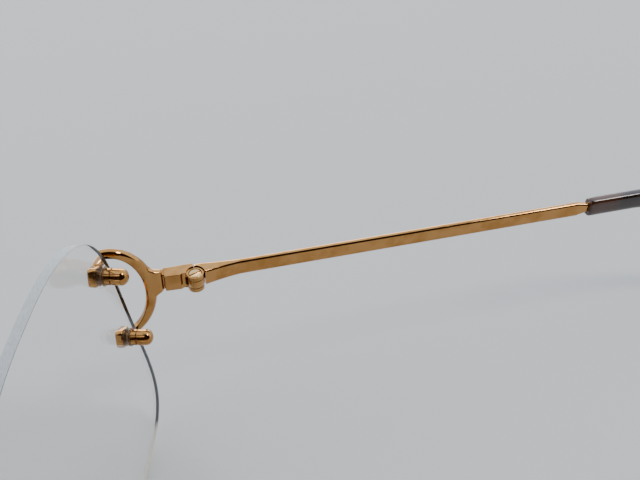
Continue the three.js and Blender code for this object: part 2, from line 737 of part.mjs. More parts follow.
function bridge() {
  const { upper, lower, root } = bridgeEnd();
  const forward = new THREE.Vector3(0, -1, 0);
  const cornerShares = { x: 0.33, y: 0.5, z: 0.72 };
  const corner = (end) =>
    new THREE.Vector3(
      THREE.MathUtils.lerp(root.x, end.x, cornerShares.x),
      THREE.MathUtils.lerp(root.y, end.y, cornerShares.y),
      THREE.MathUtils.lerp(root.z, end.z, cornerShares.z),
    );
  const crescent = new THREE.CatmullRomCurve3([upper, corner(upper), root, corner(lower), lower]);
  const strip = roundedSection(BRIDGE_STRIP_WIDTH, BRIDGE_STRIP_THICKNESS, BRIDGE_EDGE);
  const left = joined(
    sweptStrip(crescent, 9, () => forward, () => strip),
    placed(mountPad(), mounts.upper_nose),
    placed(mountPad(), mounts.lower_nose),
  );
  const end = cut(left, placed(padHole(), mounts.upper_nose), placed(padHole(), mounts.lower_nose));
  return joined(end, mirrored(end), bridgeBar(0));
}

function bridgeBar(gap) {
  const forward = new THREE.Vector3(0, -1, 0);
  const height = BRIDGE_BAR_HEIGHT + 2 * gap;
  const section = roundedSection(height, BRIDGE_BAR_THICKNESS + 2 * gap, BRIDGE_EDGE);
  return sweptStrip(barCurve(), 16, () => forward, () => section);
}

function mirrored(geometry) {
  const copy = geometry.clone().scale(-1, 1, 1);
  copy.index.array.reverse();
  return copy;
}

// Nose pad frame: X from the pad to its box, Y across the pad and along its screw, Z up the pad.
const nosePadFrame = new THREE.Matrix4().compose(
  new THREE.Vector3(NOSE_PAD_X, NOSE_PAD_Y, NOSE_PAD_Z),
  new THREE.Quaternion().setFromEuler(new THREE.Euler(0, -nosePadSlope, -nosePadSplay, "ZYX")),
  UNIT_SCALE,
);
const nosePadBack = NOSE_PAD_THICKNESS / 2;
const nosePivot = nosePadBack + NOSE_LUG_REACH;

function ovalSection(width, height, count) {
  const padTaperShare = 0.16;
  return Array.from({ length: count }, (_, k) => {
    const angle = (2 * Math.PI * k) / count;
    const taper = 1 - padTaperShare * Math.sin(angle);
    return new THREE.Vector2((width / 2) * Math.cos(angle) * taper, (height / 2) * Math.sin(angle));
  });
}

function nosePad() {
  const station = (x, share) => ({
    middle: new THREE.Vector3(x, 0, 0),
    across: AXIS_Y,
    up: AXIS_Z,
    section: ovalSection(NOSE_PAD_WIDTH * share, NOSE_PAD_HEIGHT * share, 20),
  });
  const layerShares = [
    [1, 0.84],
    [0.6, 0.97],
    [0, 1],
    [-0.6, 0.9],
    [-1, 0.6],
  ];
  const blank = loft(layerShares.map(([depth, size]) => station((depth * NOSE_PAD_THICKNESS) / 2, size)));
  return cut(blank, noseCoreBody(SEAT_GAP));
}

// The core inside the pad: a plate, and a lug that comes out at the back.
function noseCoreBody(gap) {
  const corner = new THREE.Vector3(NOSE_CORE_THICKNESS, NOSE_CORE_WIDTH, NOSE_CORE_HEIGHT)
    .multiplyScalar(0.5)
    .addScalar(gap);
  const plate = boxBetween(corner.clone().negate(), corner);
  const stem = boxBetween(
    new THREE.Vector3(0, -NOSE_LUG_WIDTH / 2 - gap, -NOSE_LUG_RADIUS - gap),
    new THREE.Vector3(nosePivot, NOSE_LUG_WIDTH / 2 + gap, NOSE_LUG_RADIUS + gap),
  );
  return joined(plate, stem);
}

function nosePadCore() {
  const half = NOSE_LUG_WIDTH / 2;
  const eye = turnedRod(NOSE_LUG_RADIUS, -half, half, 16).translate(nosePivot, 0, 0);
  const hole = turnedRod(NOSE_SCREW_RADIUS + SEAT_GAP, -half - CUT_OVERRUN, half + CUT_OVERRUN, 12);
  return cut(joined(noseCoreBody(0), eye), hole.translate(nosePivot, 0, 0));
}

function nosePadScrew() {
  const half = NOSE_LUG_WIDTH / 2 + NOSE_BOX_GAP + NOSE_BOX_WALL;
  const head = -half - SEAT_GAP;
  const face = head - NOSE_SCREW_HEAD_THICKNESS;
  const profile = [[0, face], [NOSE_SCREW_HEAD_RADIUS, face], [NOSE_SCREW_HEAD_RADIUS, head]];
  const body = turned([...profile, [NOSE_SCREW_RADIUS, head], [NOSE_SCREW_RADIUS, half], [0, half]], 12);
  const reach = NOSE_SCREW_HEAD_RADIUS + CUT_OVERRUN;
  const floor = face + NOSE_SCREW_SLOT_DEPTH;
  const slot = boxBetween(
    new THREE.Vector3(-reach, face - CUT_OVERRUN, -NOSE_SCREW_SLOT_WIDTH / 2),
    new THREE.Vector3(reach, floor, NOSE_SCREW_SLOT_WIDTH / 2),
  );
  return cut(body, slot).translate(nosePivot, 0, 0);
}

// The box that holds the lug: a U open towards the pad, soldered to the end of the wire.
function nosePadBox() {
  const width = NOSE_LUG_WIDTH / 2 + NOSE_BOX_GAP;
  const floor = nosePivot + NOSE_LUG_RADIUS + NOSE_BOX_GAP;
  const mouth = nosePivot - NOSE_LUG_RADIUS;
  const outer = boxBetween(
    new THREE.Vector3(mouth, -width - NOSE_BOX_WALL, -NOSE_BOX_HEIGHT / 2),
    new THREE.Vector3(floor + NOSE_BOX_WALL, width + NOSE_BOX_WALL, NOSE_BOX_HEIGHT / 2),
  );
  const inner = boxBetween(
    new THREE.Vector3(mouth - CUT_OVERRUN, -width, -NOSE_BOX_HEIGHT),
    new THREE.Vector3(floor, width, NOSE_BOX_HEIGHT),
  );
  const half = width + NOSE_BOX_WALL + CUT_OVERRUN;
  const hole = turnedRod(NOSE_SCREW_RADIUS + SEAT_GAP, -half, half, 12).translate(nosePivot, 0, 0);
  return placed(cut(outer, inner, hole), nosePadFrame);
}

function noseArm() {
  const bar = nearestOnBar(NOSE_ARM_ROOT);
  const back = bar.y + BRIDGE_BAR_THICKNESS / 2;
  const block = boxBetween(
    new THREE.Vector3(bar.x - NOSE_ROOT_SIZE / 2, bar.y, bar.z - NOSE_ROOT_SIZE / 2),
    new THREE.Vector3(bar.x + NOSE_ROOT_SIZE / 2, back + NOSE_ROOT_DEPTH, bar.z + NOSE_ROOT_SIZE / 2),
  );
  const foot = cut(block, bridgeBar(SEAT_GAP));
  const floor = nosePivot + NOSE_LUG_RADIUS + NOSE_BOX_GAP + NOSE_BOX_WALL / 2;
  const end = new THREE.Vector3(floor, 0, 0).applyMatrix4(nosePadFrame);
  const start = new THREE.Vector3(bar.x, back + NOSE_ROOT_DEPTH / 2, bar.z);
  const way = end.clone().sub(start);
  const wayShares = [
    [0.02, 0.4, 0.02],
    [0.3, 0.86, 0.16],
    [0.8, 1.0, 0.52],
    [1.12, 0.98, 0.86],
  ];
  const points = wayShares.map(
    ([x, y, z]) => new THREE.Vector3(start.x + way.x * x, start.y + way.y * y, start.z + way.z * z),
  );
  const curve = new THREE.CatmullRomCurve3([start, ...points, end]);
  const wire = sweptStrip(curve, 15, () => AXIS_X, () => roundSection(NOSE_WIRE_RADIUS, 8));
  return joined(foot, wire, nosePadBox());
}

// The point of the bridge bar's middle line at a distance from the nose.
function nearestOnBar(x) {
  const curve = barCurve();
  const steps = 200;
  let best = curve.getPoint(0);
  for (let step = 1; step <= steps; step += 1) {
    const point = curve.getPoint(step / steps);
    if (Math.abs(point.x - x) < Math.abs(best.x - x)) {
      best = point;
    }
  }
  return best;
}

function addMesh(parent, name, geometry, finish, frame) {
  const mesh = new THREE.Mesh(geometry, new THREE.MeshStandardMaterial(finish));
  mesh.name = name;
  geometry.computeVertexNormals();
  if (frame) {
    mesh.applyMatrix4(frame);
  }
  parent.add(mesh);
  return mesh;
}

const pieces = {
  lens: lens(),
  endBracket: endBracket(),
  forkLeaf: forkLeaf(),
  hingeScrew: hingeScrew(),
  temple: temple(),
  knuckle: templeKnuckle(),
  tip: templeTip(),
  post: post(),
  frontWasher: washer(padBack + SEAT_GAP),
  rearWasher: washer(rearWasherFront),
  capNut: capNut(),
  noseArm: noseArm(),
  nosePad: nosePad(),
  noseCore: nosePadCore(),
  noseScrew: nosePadScrew(),
};

// One side of the frame. The right one is the left one in the mirror.
function buildSide(label, mirror) {
  const side = new THREE.Group();
  side.scale.x = mirror;
  addMesh(side, `${label}_lens`, pieces.lens, LENS_GLASS);
  addMesh(side, `${label}_end_bracket`, pieces.endBracket, GOLD);
  addMesh(side, `${label}_hinge_fork_leaf`, pieces.forkLeaf, GOLD, hingeFrame);
  addMesh(side, `${label}_hinge_screw`, pieces.hingeScrew, GOLD_SCREW, hingeFrame);
  Object.entries(mounts).forEach(([place, frame]) => {
    addMesh(side, `${label}_${place}_post`, pieces.post, GOLD_SCREW, frame);
    addMesh(side, `${label}_${place}_front_washer`, pieces.frontWasher, CLEAR_PLASTIC, frame);
    addMesh(side, `${label}_${place}_rear_washer`, pieces.rearWasher, CLEAR_PLASTIC, frame);
    addMesh(side, `${label}_${place}_cap_nut`, pieces.capNut, GOLD, frame);
  });
  const folding = new THREE.Group();
  folding.applyMatrix4(hingeFrame);
  addMesh(folding, `${label}_temple`, pieces.temple, GOLD);
  addMesh(folding, `${label}_temple_knuckle`, pieces.knuckle, GOLD);
  addMesh(folding, `${label}_temple_tip`, pieces.tip, TIP_PLASTIC);
  side.add(folding);
  addMesh(side, `${label}_nose_pad_arm`, pieces.noseArm, GOLD);
  const rocking = new THREE.Group();
  rocking.applyMatrix4(nosePadFrame);
  addMesh(rocking, `${label}_nose_pad`, pieces.nosePad, CLEAR_PLASTIC);
  addMesh(rocking, `${label}_nose_pad_core`, pieces.noseCore, GOLD);
  addMesh(rocking, `${label}_nose_pad_screw`, pieces.noseScrew, GOLD_SCREW);
  side.add(rocking);
  return side;
}

const eyeglasses = new THREE.Group();
eyeglasses.add(buildSide("left", 1), buildSide("right", -1));
addMesh(eyeglasses, "bridge", bridge(), GOLD);

// The frame stands on the plane z = 0, with its origin under the middle of its box.
const box = new THREE.Box3().setFromObject(eyeglasses, true);
const middle = box.getCenter(new THREE.Vector3());
eyeglasses.position.set(-middle.x, -middle.y, -box.min.z);

export default eyeglasses;
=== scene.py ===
"""Rimless eyeglass frame, gold plated, standing open on a pale floor.

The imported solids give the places. Each visible piece is modelled here in millimetres, in the
place where its maker would model it, and is then set into the solids' own frame in metres.
Every side piece is modelled once, for the left side, and its mirror image is the right one.
"""

import json
import logging
import math
from contextlib import contextmanager
from dataclasses import dataclass, field
from enum import Enum
from typing import Callable, Iterator, Optional, Sequence, Union

import bmesh
import bpy
from mathutils import Matrix, Vector

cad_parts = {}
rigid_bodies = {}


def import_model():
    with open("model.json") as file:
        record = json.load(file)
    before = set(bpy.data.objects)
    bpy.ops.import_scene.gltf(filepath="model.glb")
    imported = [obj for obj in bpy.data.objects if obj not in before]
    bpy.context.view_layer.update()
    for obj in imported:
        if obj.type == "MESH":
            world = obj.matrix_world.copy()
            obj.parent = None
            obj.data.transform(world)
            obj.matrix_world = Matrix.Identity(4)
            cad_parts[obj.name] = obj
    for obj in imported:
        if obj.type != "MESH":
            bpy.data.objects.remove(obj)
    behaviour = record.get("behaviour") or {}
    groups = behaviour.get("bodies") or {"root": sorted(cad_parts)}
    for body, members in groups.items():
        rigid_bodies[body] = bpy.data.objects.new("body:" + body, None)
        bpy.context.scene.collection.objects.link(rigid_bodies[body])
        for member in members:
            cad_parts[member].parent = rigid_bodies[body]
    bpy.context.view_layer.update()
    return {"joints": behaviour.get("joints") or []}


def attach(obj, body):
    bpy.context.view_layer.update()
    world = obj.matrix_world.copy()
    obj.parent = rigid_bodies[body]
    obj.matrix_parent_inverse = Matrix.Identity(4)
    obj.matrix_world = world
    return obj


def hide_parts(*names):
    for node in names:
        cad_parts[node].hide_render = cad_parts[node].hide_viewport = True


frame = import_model()

LOG = logging.getLogger("eyeglass_frame")
MM = 0.001
QUARTER = math.pi / 2
DOUBLED = 1e-4
SMOOTH = 35
X = Vector((1, 0, 0))
Y = Vector((0, 1, 0))
Z = Vector((0, 0, 1))


class Side(Enum):
    """The wearer's left and right."""

    LEFT = "left"
    RIGHT = "right"


class Carrier(Enum):
    """What a side piece moves with."""

    FRONT = "front"
    TEMPLE = "temple"
    NOSE_PAD = "nose_pad"

    def body(self, side: Side) -> str:
        """The name of the moving body on one side."""
        return self.value if self is Carrier.FRONT else f"{side.value}_{self.value}"


class Join(Enum):
    """How one piece is worked into another."""

    ADD = "UNION"
    CUT = "DIFFERENCE"


# ---------------------------------------------------------------------------------------------
# Workbench
# ---------------------------------------------------------------------------------------------


def take(piece: bpy.types.Object) -> None:
    """Makes one piece the only one selected, and the active one.

    Args:
        piece: the piece.
    """
    bpy.ops.object.select_all(action="DESELECT")
    piece.select_set(True)
    bpy.context.view_layer.objects.active = piece


def named(name: str) -> bpy.types.Object:
    """Names the primitive that was just added, and its mesh.

    Args:
        name: its name.

    Returns:
        The primitive.
    """
    piece = bpy.context.object
    piece.name = name
    piece.data.name = name
    return piece


@contextmanager
def shaping(piece: bpy.types.Object) -> Iterator[bmesh.types.BMesh]:
    """Opens a piece in edit mode and closes it again.

    Args:
        piece: the piece.

    Yields:
        The mesh that is open.
    """
    take(piece)
    bpy.ops.object.mode_set(mode="EDIT")
    yield bmesh.from_edit_mesh(piece.data)
    bpy.ops.object.mode_set(mode="OBJECT")


def pick(piece: bpy.types.Object, kind: str, test: Callable[[object], bool]) -> None:
    """Selects the vertices, edges or faces that pass a test.

    Args:
        piece: a piece in edit mode.
        kind: "verts", "edges" or "faces".
        test: takes one vertex, edge or face.
    """
    bpy.ops.mesh.select_mode(type={"verts": "VERT", "edges": "EDGE", "faces": "FACE"}[kind])
    bpy.ops.mesh.select_all(action="DESELECT")
    mesh = bmesh.from_edit_mesh(piece.data)
    for part in getattr(mesh, kind):
        if test(part):
            part.select_set(True)
    bmesh.update_edit_mesh(piece.data)


def face_outwards(piece: bpy.types.Object) -> None:
    """Merges doubled points and turns every face of a piece outwards.

    Args:
        piece: the piece.
    """
    with shaping(piece):
        bpy.ops.mesh.select_all(action="SELECT")
        bpy.ops.mesh.remove_doubles(threshold=DOUBLED)
        bpy.ops.mesh.normals_make_consistent(inside=False)


def with_modifier(piece: bpy.types.Object, kind: str, **settings: object) -> None:
    """Adds one modifier to a piece and applies it.

    Args:
        piece: the piece.
        kind: the modifier's type.
        **settings: its settings.
    """
    take(piece)
    bpy.ops.object.modifier_add(type=kind)
    modifier = piece.modifiers[-1]
    for name, value in settings.items():
        setattr(modifier, name, value)
    bpy.ops.object.modifier_apply(modifier=modifier.name)


def ease(piece: bpy.types.Object, width: float, segments: int = 2, angle: float = 50) -> None:
    """Rounds the sharp edges of a piece.

    Args:
        piece: the piece.
        width: how wide the rounding is.
        segments: the number of steps round it.
        angle: the least angle of an edge that it takes, in degrees.
    """
    with_modifier(
        piece,
        "BEVEL",
        width=width,
        segments=segments,
        limit_method="ANGLE",
        angle_limit=math.radians(angle),
    )


def work_in(piece: bpy.types.Object, tool: bpy.types.Object, join: Join) -> None:
    """Cuts a tool out of a piece, or adds it, and clears the tool away."""
    with_modifier(piece, "BOOLEAN", object=tool, operation=join.value, solver="EXACT")
    bpy.data.objects.remove(tool)


def polish(piece: bpy.types.Object, angle: float = SMOOTH) -> None:
    """Shades a piece smooth up to an angle, with its flat faces kept flat.

    Args:
        piece: the piece.
        angle: the angle, in degrees.
    """
    take(piece)
    bpy.ops.object.shade_smooth_by_angle(angle=math.radians(angle))
    with_modifier(piece, "WEIGHTED_NORMAL", keep_sharp=True)


def seated(piece: bpy.types.Object, place: Matrix) -> bpy.types.Object:
    """Moves a piece and applies the move to its mesh.

    Args:
        piece: the piece.
        place: takes it to where it goes.

    Returns:
        The piece.
    """
    piece.matrix_world = place
    take(piece)
    bpy.ops.object.transform_apply(location=True, rotation=True, scale=True)
    return piece


def mirror_image(piece: bpy.types.Object, name: str) -> bpy.types.Object:
    """The right piece of a left one, with its own mesh, facing outwards.

    Args:
        piece: the left piece.
        name: the name of the right one.

    Returns:
        The right piece.
    """
    take(piece)
    bpy.ops.object.duplicate()
    twin = named(name)
    twin.scale.x = -1
    bpy.ops.object.transform_apply(location=True, rotation=True, scale=True)
    with shaping(twin) as mesh:
        if mesh.calc_volume(signed=True) < 0:
            bpy.ops.mesh.select_all(action="SELECT")
            bpy.ops.mesh.flip_normals()
    return twin


def block(name: str, low: Sequence[float], high: Sequence[float]) -> bpy.types.Object:
    """A block between two corners.

    Args:
        name: the block's name.
        low: its lowest corner.
        high: its highest corner.

    Returns:
        The block.
    """
    low, high = Vector(low), Vector(high)
    bpy.ops.mesh.primitive_cube_add(size=1, location=(low + high) / 2, scale=high - low)
    piece = named(name)
    bpy.ops.object.transform_apply(location=True, rotation=True, scale=True)
    return piece


def rod(
    name: str, radius: float, low: float, high: float, axis: Vector, sides: int = 32
) -> bpy.types.Object:
    """A round rod through the origin, between two places along its axis.

    Args:
        name: the rod's name.
        radius: its radius.
        low: where it starts on its axis.
        high: where it ends on its axis.
        axis: the direction of its axis.
        sides: the number of its sides.

    Returns:
        The rod.
    """
    turn = Z.rotation_difference(axis)
    bpy.ops.mesh.primitive_cylinder_add(
        vertices=sides,
        radius=radius,
        depth=high - low,
        location=axis * (low + high) / 2,
        rotation=turn.to_euler(),
    )
    piece = named(name)
    bpy.ops.object.transform_apply(location=True, rotation=True, scale=True)
    return piece


def turned(name: str, profile: Sequence[tuple[float, float]], sides: int) -> bpy.types.Object:
    """A piece turned on a lathe about its own Y axis.

    Args:
        name: the piece's name.
        profile: pairs of radius and place along Y. It starts and ends on the axis, or it is
            closed, for a ring.
        sides: the number of steps round the axis.

    Returns:
        The piece, closed and facing outwards.
    """
    closed = profile[0] == profile[-1]
    points = profile[:-1] if closed else profile
    bpy.ops.mesh.primitive_circle_add(vertices=len(points), radius=1)
    piece = named(name)
    with shaping(piece) as mesh:
        mesh.verts.ensure_lookup_table()
        for vert, (radius, along) in zip(mesh.verts, points):
            vert.co = (radius, along, 0)
        if not closed:
            ends = {mesh.verts[0], mesh.verts[-1]}
            pick(piece, "edges", lambda edge: set(edge.verts) == ends)
            bpy.ops.mesh.delete(type="EDGE")
        bpy.ops.mesh.select_all(action="SELECT")
        bpy.ops.mesh.spin(steps=sides, angle=2 * math.pi, center=(0, 0, 0), axis=(0, 1, 0))
    face_outwards(piece)
    return piece


@dataclass(frozen=True)
class Station:
    """One place along a drawn bar, with the lie and the size of its section."""

    middle: Vector
    across: Vector
    up: Vector
    width: float
    height: float

    def matrix(self) -> Matrix:
        """Leads from a section of unit size in the XY plane to this place.

        Returns:
            The matrix that takes it there.
        """
        across = self.across.normalized()
        up = self.up.normalized()
        columns = (across * self.width, up * self.height, across.cross(up), self.middle)
        rows = [[column[row] for column in columns] for row in range(3)]
        return Matrix([*rows, [0, 0, 0, 1]])


def cushion(
    width: float, height: float, corners: Sequence[float], steps: int = 4
) -> list[tuple[float, float]]:
    """A rectangle with a rounding of its own at each corner, as shares of its size.

    Args:
        width: the rectangle's width.
        height: its height.
        corners: the four roundings, from the first quadrant on.
        steps: the number of steps round each corner.

    Returns:
        The points of the outline.
    """
    points = []
    signs = ((1, 1), (-1, 1), (-1, -1), (1, -1))
    for turn, (corner, (side, top)) in enumerate(zip(corners, signs)):
        for step in range(steps + 1):
            angle = QUARTER * (turn + step / steps)
            x = side * (width / 2 - corner) + corner * math.cos(angle)
            y = top * (height / 2 - corner) + corner * math.sin(angle)
            points.append((x / width, y / height))
    return points


def oval(sides: int, squareness: float = 2) -> list[tuple[float, float]]:
    """A round section of unit size.

    Args:
        sides: the number of its sides.
        squareness: 2 for a circle, and more to fill its corners.

    Returns:
        The points of the outline.
    """
    points = []
    for step in range(sides):
        angle = math.tau * step / sides
        x, y = math.cos(angle), math.sin(angle)
        share = 2 / squareness
        points.append(
            (math.copysign(abs(x) ** share, x) / 2, math.copysign(abs(y) ** share, y) / 2)
        )
    return points


SQUARE = ((0.5, 0.5), (-0.5, 0.5), (-0.5, -0.5), (0.5, -0.5))


def drawn(
    name: str,
    stations: Sequence[Station],
    section: Sequence[tuple[float, float]] = SQUARE,
) -> bpy.types.Object:
    """A bar drawn out of its first section: extruded and set in place, step by step.

    Args:
        name: the piece's name.
        stations: the places along the bar, in order.
        section: the outline of the section, of unit size.

    Returns:
        The piece, closed and facing outwards.
    """
    bpy.ops.mesh.primitive_circle_add(vertices=len(section), radius=0.5, fill_type="NGON")
    piece = named(name)
    with shaping(piece) as mesh:
        for vert, (x, y) in zip(mesh.verts, section):
            vert.co = (x, y, 0)
        bpy.ops.mesh.select_mode(type="FACE")
        bpy.ops.mesh.select_all(action="SELECT")
        last = Matrix.Identity(4)
        for step, station in enumerate(stations):
            if step:
                bpy.ops.mesh.extrude_region_move()
            following = station.matrix()
            move = following @ last.inverted()
            ends = [vert for vert in bmesh.from_edit_mesh(piece.data).verts if vert.select]
            for vert in ends:
                vert.co = move @ vert.co
            last = following
    face_outwards(piece)
    return piece


def smooth_path(points: Sequence[Vector], steps: int) -> list[tuple[Vector, Vector]]:
    """A smooth line through points, as evenly numbered places with their directions.

    Args:
        points: the points that the line goes through.
        steps: the number of stretches that it is divided into.

    Returns:
        Pairs of place and direction, one more than there are steps.
    """
    guide = [2 * points[0] - points[1], *points, 2 * points[-1] - points[-2]]

    def place(share: float) -> Vector:
        """The place at a share of the whole line."""
        at = share * (len(points) - 1)
        first = min(int(at), len(points) - 2)
        t = at - first
        p0, p1, p2, p3 = guide[first : first + 4]
        d0, d1, d2 = ((b - a).length ** 0.5 for a, b in ((p0, p1), (p1, p2), (p2, p3)))
        leave = ((p1 - p0) / d0 - (p2 - p0) / (d0 + d1) + (p2 - p1) / d1) * d1
        arrive = ((p2 - p1) / d1 - (p3 - p1) / (d1 + d2) + (p3 - p2) / d2) * d1
        second = -3 * p1 + 3 * p2 - 2 * leave - arrive
        third = 2 * p1 - 2 * p2 + leave + arrive
        return p1 + leave * t + second * t * t + third * t * t * t

    small = 1e-4
    path = []
    for step in range(steps + 1):
        share = step / steps
        ahead = place(min(1.0, share + small))
        behind = place(max(0.0, share - small))
        path.append((place(share), (ahead - behind).normalized()))
    return path


def strip_along(
    name: str,
    path: Sequence[tuple[Vector, Vector]],
    facing: Callable[[Vector], Vector],
    width: Callable[[Vector], float],
    thickness: float,
    section: Sequence[tuple[float, float]] = SQUARE,
) -> bpy.types.Object:
    """A flat strip along a path.

    Args:
        name: the piece's name.
        path: places and directions, from smooth_path.
        facing: the direction of the strip's thickness at a place.
        width: the strip's width at a place.
        thickness: its thickness.
        section: the outline of its section, of unit size.

    Returns:
        The strip as one closed piece.
    """
    stations = []
    for middle, along in path:
        across = along.cross(facing(middle)).normalized()
        up = across.cross(along).normalized()
        stations.append(Station(middle, across, up, width(middle), thickness))
    return drawn(name, stations, section)


# ---------------------------------------------------------------------------------------------
# Finishes
# ---------------------------------------------------------------------------------------------

Number = Union[int, float]
Colour = tuple[float, float, float]


class Signal:
    """A socket's output that Python's operators can do sums on."""

    def __init__(self, palette: "Palette", socket: bpy.types.NodeSocket) -> None:
        """Wraps one output socket of a palette's tree."""
        self.palette = palette
        self.socket = socket

    def __add__(self, other: Union["Signal", Number]) -> "Signal":
        """The sum."""
        return self.palette.maths("ADD", self, other)

    __radd__ = __add__

    def __mul__(self, other: Union["Signal", Number]) -> "Signal":
        """The product."""
        return self.palette.maths("MULTIPLY", self, other)

    __rmul__ = __mul__

    def __sub__(self, other: Union["Signal", Number]) -> "Signal":
        """The difference."""
        return self.palette.maths("SUBTRACT", self, other)

    def __rsub__(self, other: Number) -> "Signal":
        """The difference from a number."""
        return self.palette.maths("SUBTRACT", other, self)

    def between(self, low: float, high: float) -> "Signal":
        """0 below low, 1 above high, and a smooth step between them.

        Args:
            low: where the step starts.
            high: where it ends.

        Returns:
            The step.
        """
        node = self.palette.node(
            "ShaderNodeMapRange",
            {"interpolation_type": "SMOOTHSTEP"},
            {"Value": self, "From Min": low, "From Max": high},
        )
        return Signal(self.palette, node.outputs["Result"])


class Palette:
    """The node tree of a finish or of the surroundings."""

    def __init__(self, owner: Union[bpy.types.Material, bpy.types.World]) -> None:
        """Starts an empty tree, with the place or the direction that it reads.

        Args:
            owner: a material, or the world for the surroundings.
        """
        kind = "World" if isinstance(owner, bpy.types.World) else "Material"
        owner.use_nodes = True
        self.owner = owner
        self.tree = owner.node_tree
        self.tree.nodes.clear()
        self.output = self.tree.nodes.new(f"ShaderNodeOutput{kind}")
        coordinates = self.node("ShaderNodeTexCoord")
        self.place = Signal(
            self, coordinates.outputs["Generated" if kind == "World" else "Object"]
        )

    def node(
        self,
        kind: str,
        settings: Optional[dict[str, object]] = None,
        values: Optional[dict[Union[str, int], object]] = None,
    ) -> bpy.types.Node:
        """Adds one node.

        Args:
            kind: the node's type.
            settings: its own settings, which are set first.
            values: a value or a Signal for each of its sockets, by name or number.

        Returns:
            The node.
        """
        node = self.tree.nodes.new(kind)
        for name, value in (settings or {}).items():
            setattr(node, name, value)
        for name, value in (values or {}).items():
            socket = node.inputs[name]
            if isinstance(value, Signal):
                self.tree.links.new(value.socket, socket)
            else:
                socket.default_value = value
        return node

    def maths(self, operation: str, first: object, second: object) -> Signal:
        """One sum on two numbers."""
        node = self.node("ShaderNodeMath", {"operation": operation}, {0: first, 1: second})
        return Signal(self, node.outputs[0])

    def stretched(self, along: Sequence[float]) -> Signal:
        """The object's coordinates, stretched by a factor along each axis."""
        node = self.node("ShaderNodeMapping", None, {"Vector": self.place, "Scale": along})
        return Signal(self, node.outputs[0])

    def noise(self, per_metre: float, detail: float = 2, place: Optional[Signal] = None) -> Signal:
        """Smooth noise from 0 to 1.

        Args:
            per_metre: the number of cells to the metre.
            detail: how many finer layers it has.
            place: the coordinates that it reads, if not the object's own.

        Returns:
            The noise.
        """
        node = self.node(
            "ShaderNodeTexNoise",
            None,
            {"Vector": place or self.place, "Scale": per_metre, "Detail": detail},
        )
        return Signal(self, node.outputs[0])

    def blend(
        self, share: Signal, low: Union[Colour, Signal], high: Union[Colour, Signal]
    ) -> Signal:
        """A colour between two others.

        Args:
            share: how much of the second colour it has.
            low: the first colour.
            high: the second colour.

        Returns:
            The colour.
        """
        node = self.node(
            "ShaderNodeMix",
            {"data_type": "RGBA"},
            {
                0: share,
                6: low if isinstance(low, Signal) else (*low, 1),
                7: high if isinstance(high, Signal) else (*high, 1),
            },
        )
        return Signal(self, node.outputs[2])

    def bump(self, height: Signal, metres: float, strength: float = 1) -> Signal:
        """A normal from a height."""
        node = self.node(
            "ShaderNodeBump", None, {"Strength": strength, "Distance": metres, "Height": height}
        )
        return Signal(self, node.outputs[0])

    def surface(self, **values: object) -> bpy.types.Material:
        """Ends the tree in a principled shader.

        Args:
            **values: what its sockets get, with _ for the blanks in their names.

        Returns:
            The material.
        """
        shader = self.node(
            "ShaderNodeBsdfPrincipled",
            None,
            {name.replace("_", " "): value for name, value in values.items()},
        )
        return self.ended(shader)

    def ended(self, shader: bpy.types.Node) -> Union[bpy.types.Material, bpy.types.World]:
        """Ends the tree in a shader of any kind."""
        self.tree.links.new(shader.outputs[0], self.output.inputs["Surface"])
        return self.owner

    def along(self, direction: Sequence[float]) -> Signal:
        """How far the place, or the direction in the surroundings, goes along a direction."""
        node = self.node(
            "ShaderNodeVectorMath", {"operation": "DOT_PRODUCT"}, {0: self.place, 1: direction}
        )
        return Signal(self, node.outputs["Value"])


@dataclass(frozen=True)
class GoldPlate:
    """Polished gold plate with fine handling marks."""

    name: str = "gold_plate"
    slot: str = "gold_plate"
    bright: Colour = (0.48, 0.248, 0.083)
    # the worn colour for the gold and screws; for the lens bore, the darker painted reflection of
    # the post
    rubbed_and_painted_shade: Colour = (0.38, 0.18, 0.05)
    shine: float = 0.08
    marks_per_metre: float = 900
    hair_stretch: tuple[float, float, float] = (9000, 700, 9000)
    mark_roughness: float = 0.05
    hair_roughness: float = 0.03
    mark_depth: float = 0.000004

    def material(self) -> bpy.types.Material:
        """Builds the finish.

        Returns:
            The material.
        """
        palette = Palette(bpy.data.materials.new(self.name))
        patches = palette.noise(self.marks_per_metre / 3, 3)
        marks = palette.noise(self.marks_per_metre, 4)
        hairs = palette.noise(1, 3, palette.stretched(self.hair_stretch))
        colour = palette.blend(patches.between(0.4, 0.7), self.bright, self.rubbed_and_painted_shade)
        roughness = self.shine + marks.between(0.45, 0.75) * self.mark_roughness
        roughness = roughness + hairs * self.hair_roughness
        normal = palette.bump(hairs + marks, self.mark_depth, 0.35)
        return palette.surface(
            Base_Color=colour, Metallic=1.0, Roughness=roughness, Normal=normal
        )


@dataclass(frozen=True)
class LensGlass:
    """Clear lens material, faintly warm."""

    name: str = "lens_glass"
    slot: str = "lens"
    clear: Colour = (0.974, 0.968, 0.948)
    hazy: Colour = (0.957, 0.95, 0.928)

    def material(self) -> bpy.types.Material:
        """Builds the finish.

        Returns:
            The material.
        """
        palette = Palette(bpy.data.materials.new(self.name))
        haze = palette.noise(260, 4).between(0.55, 0.8)
        return palette.surface(
            Base_Color=palette.blend(haze, self.clear, self.hazy),
            Roughness=haze * 0.02 + 0.004,
            IOR=1.5,
            Specular_IOR_Level=0.004,
            Transmission_Weight=1.0,
        )


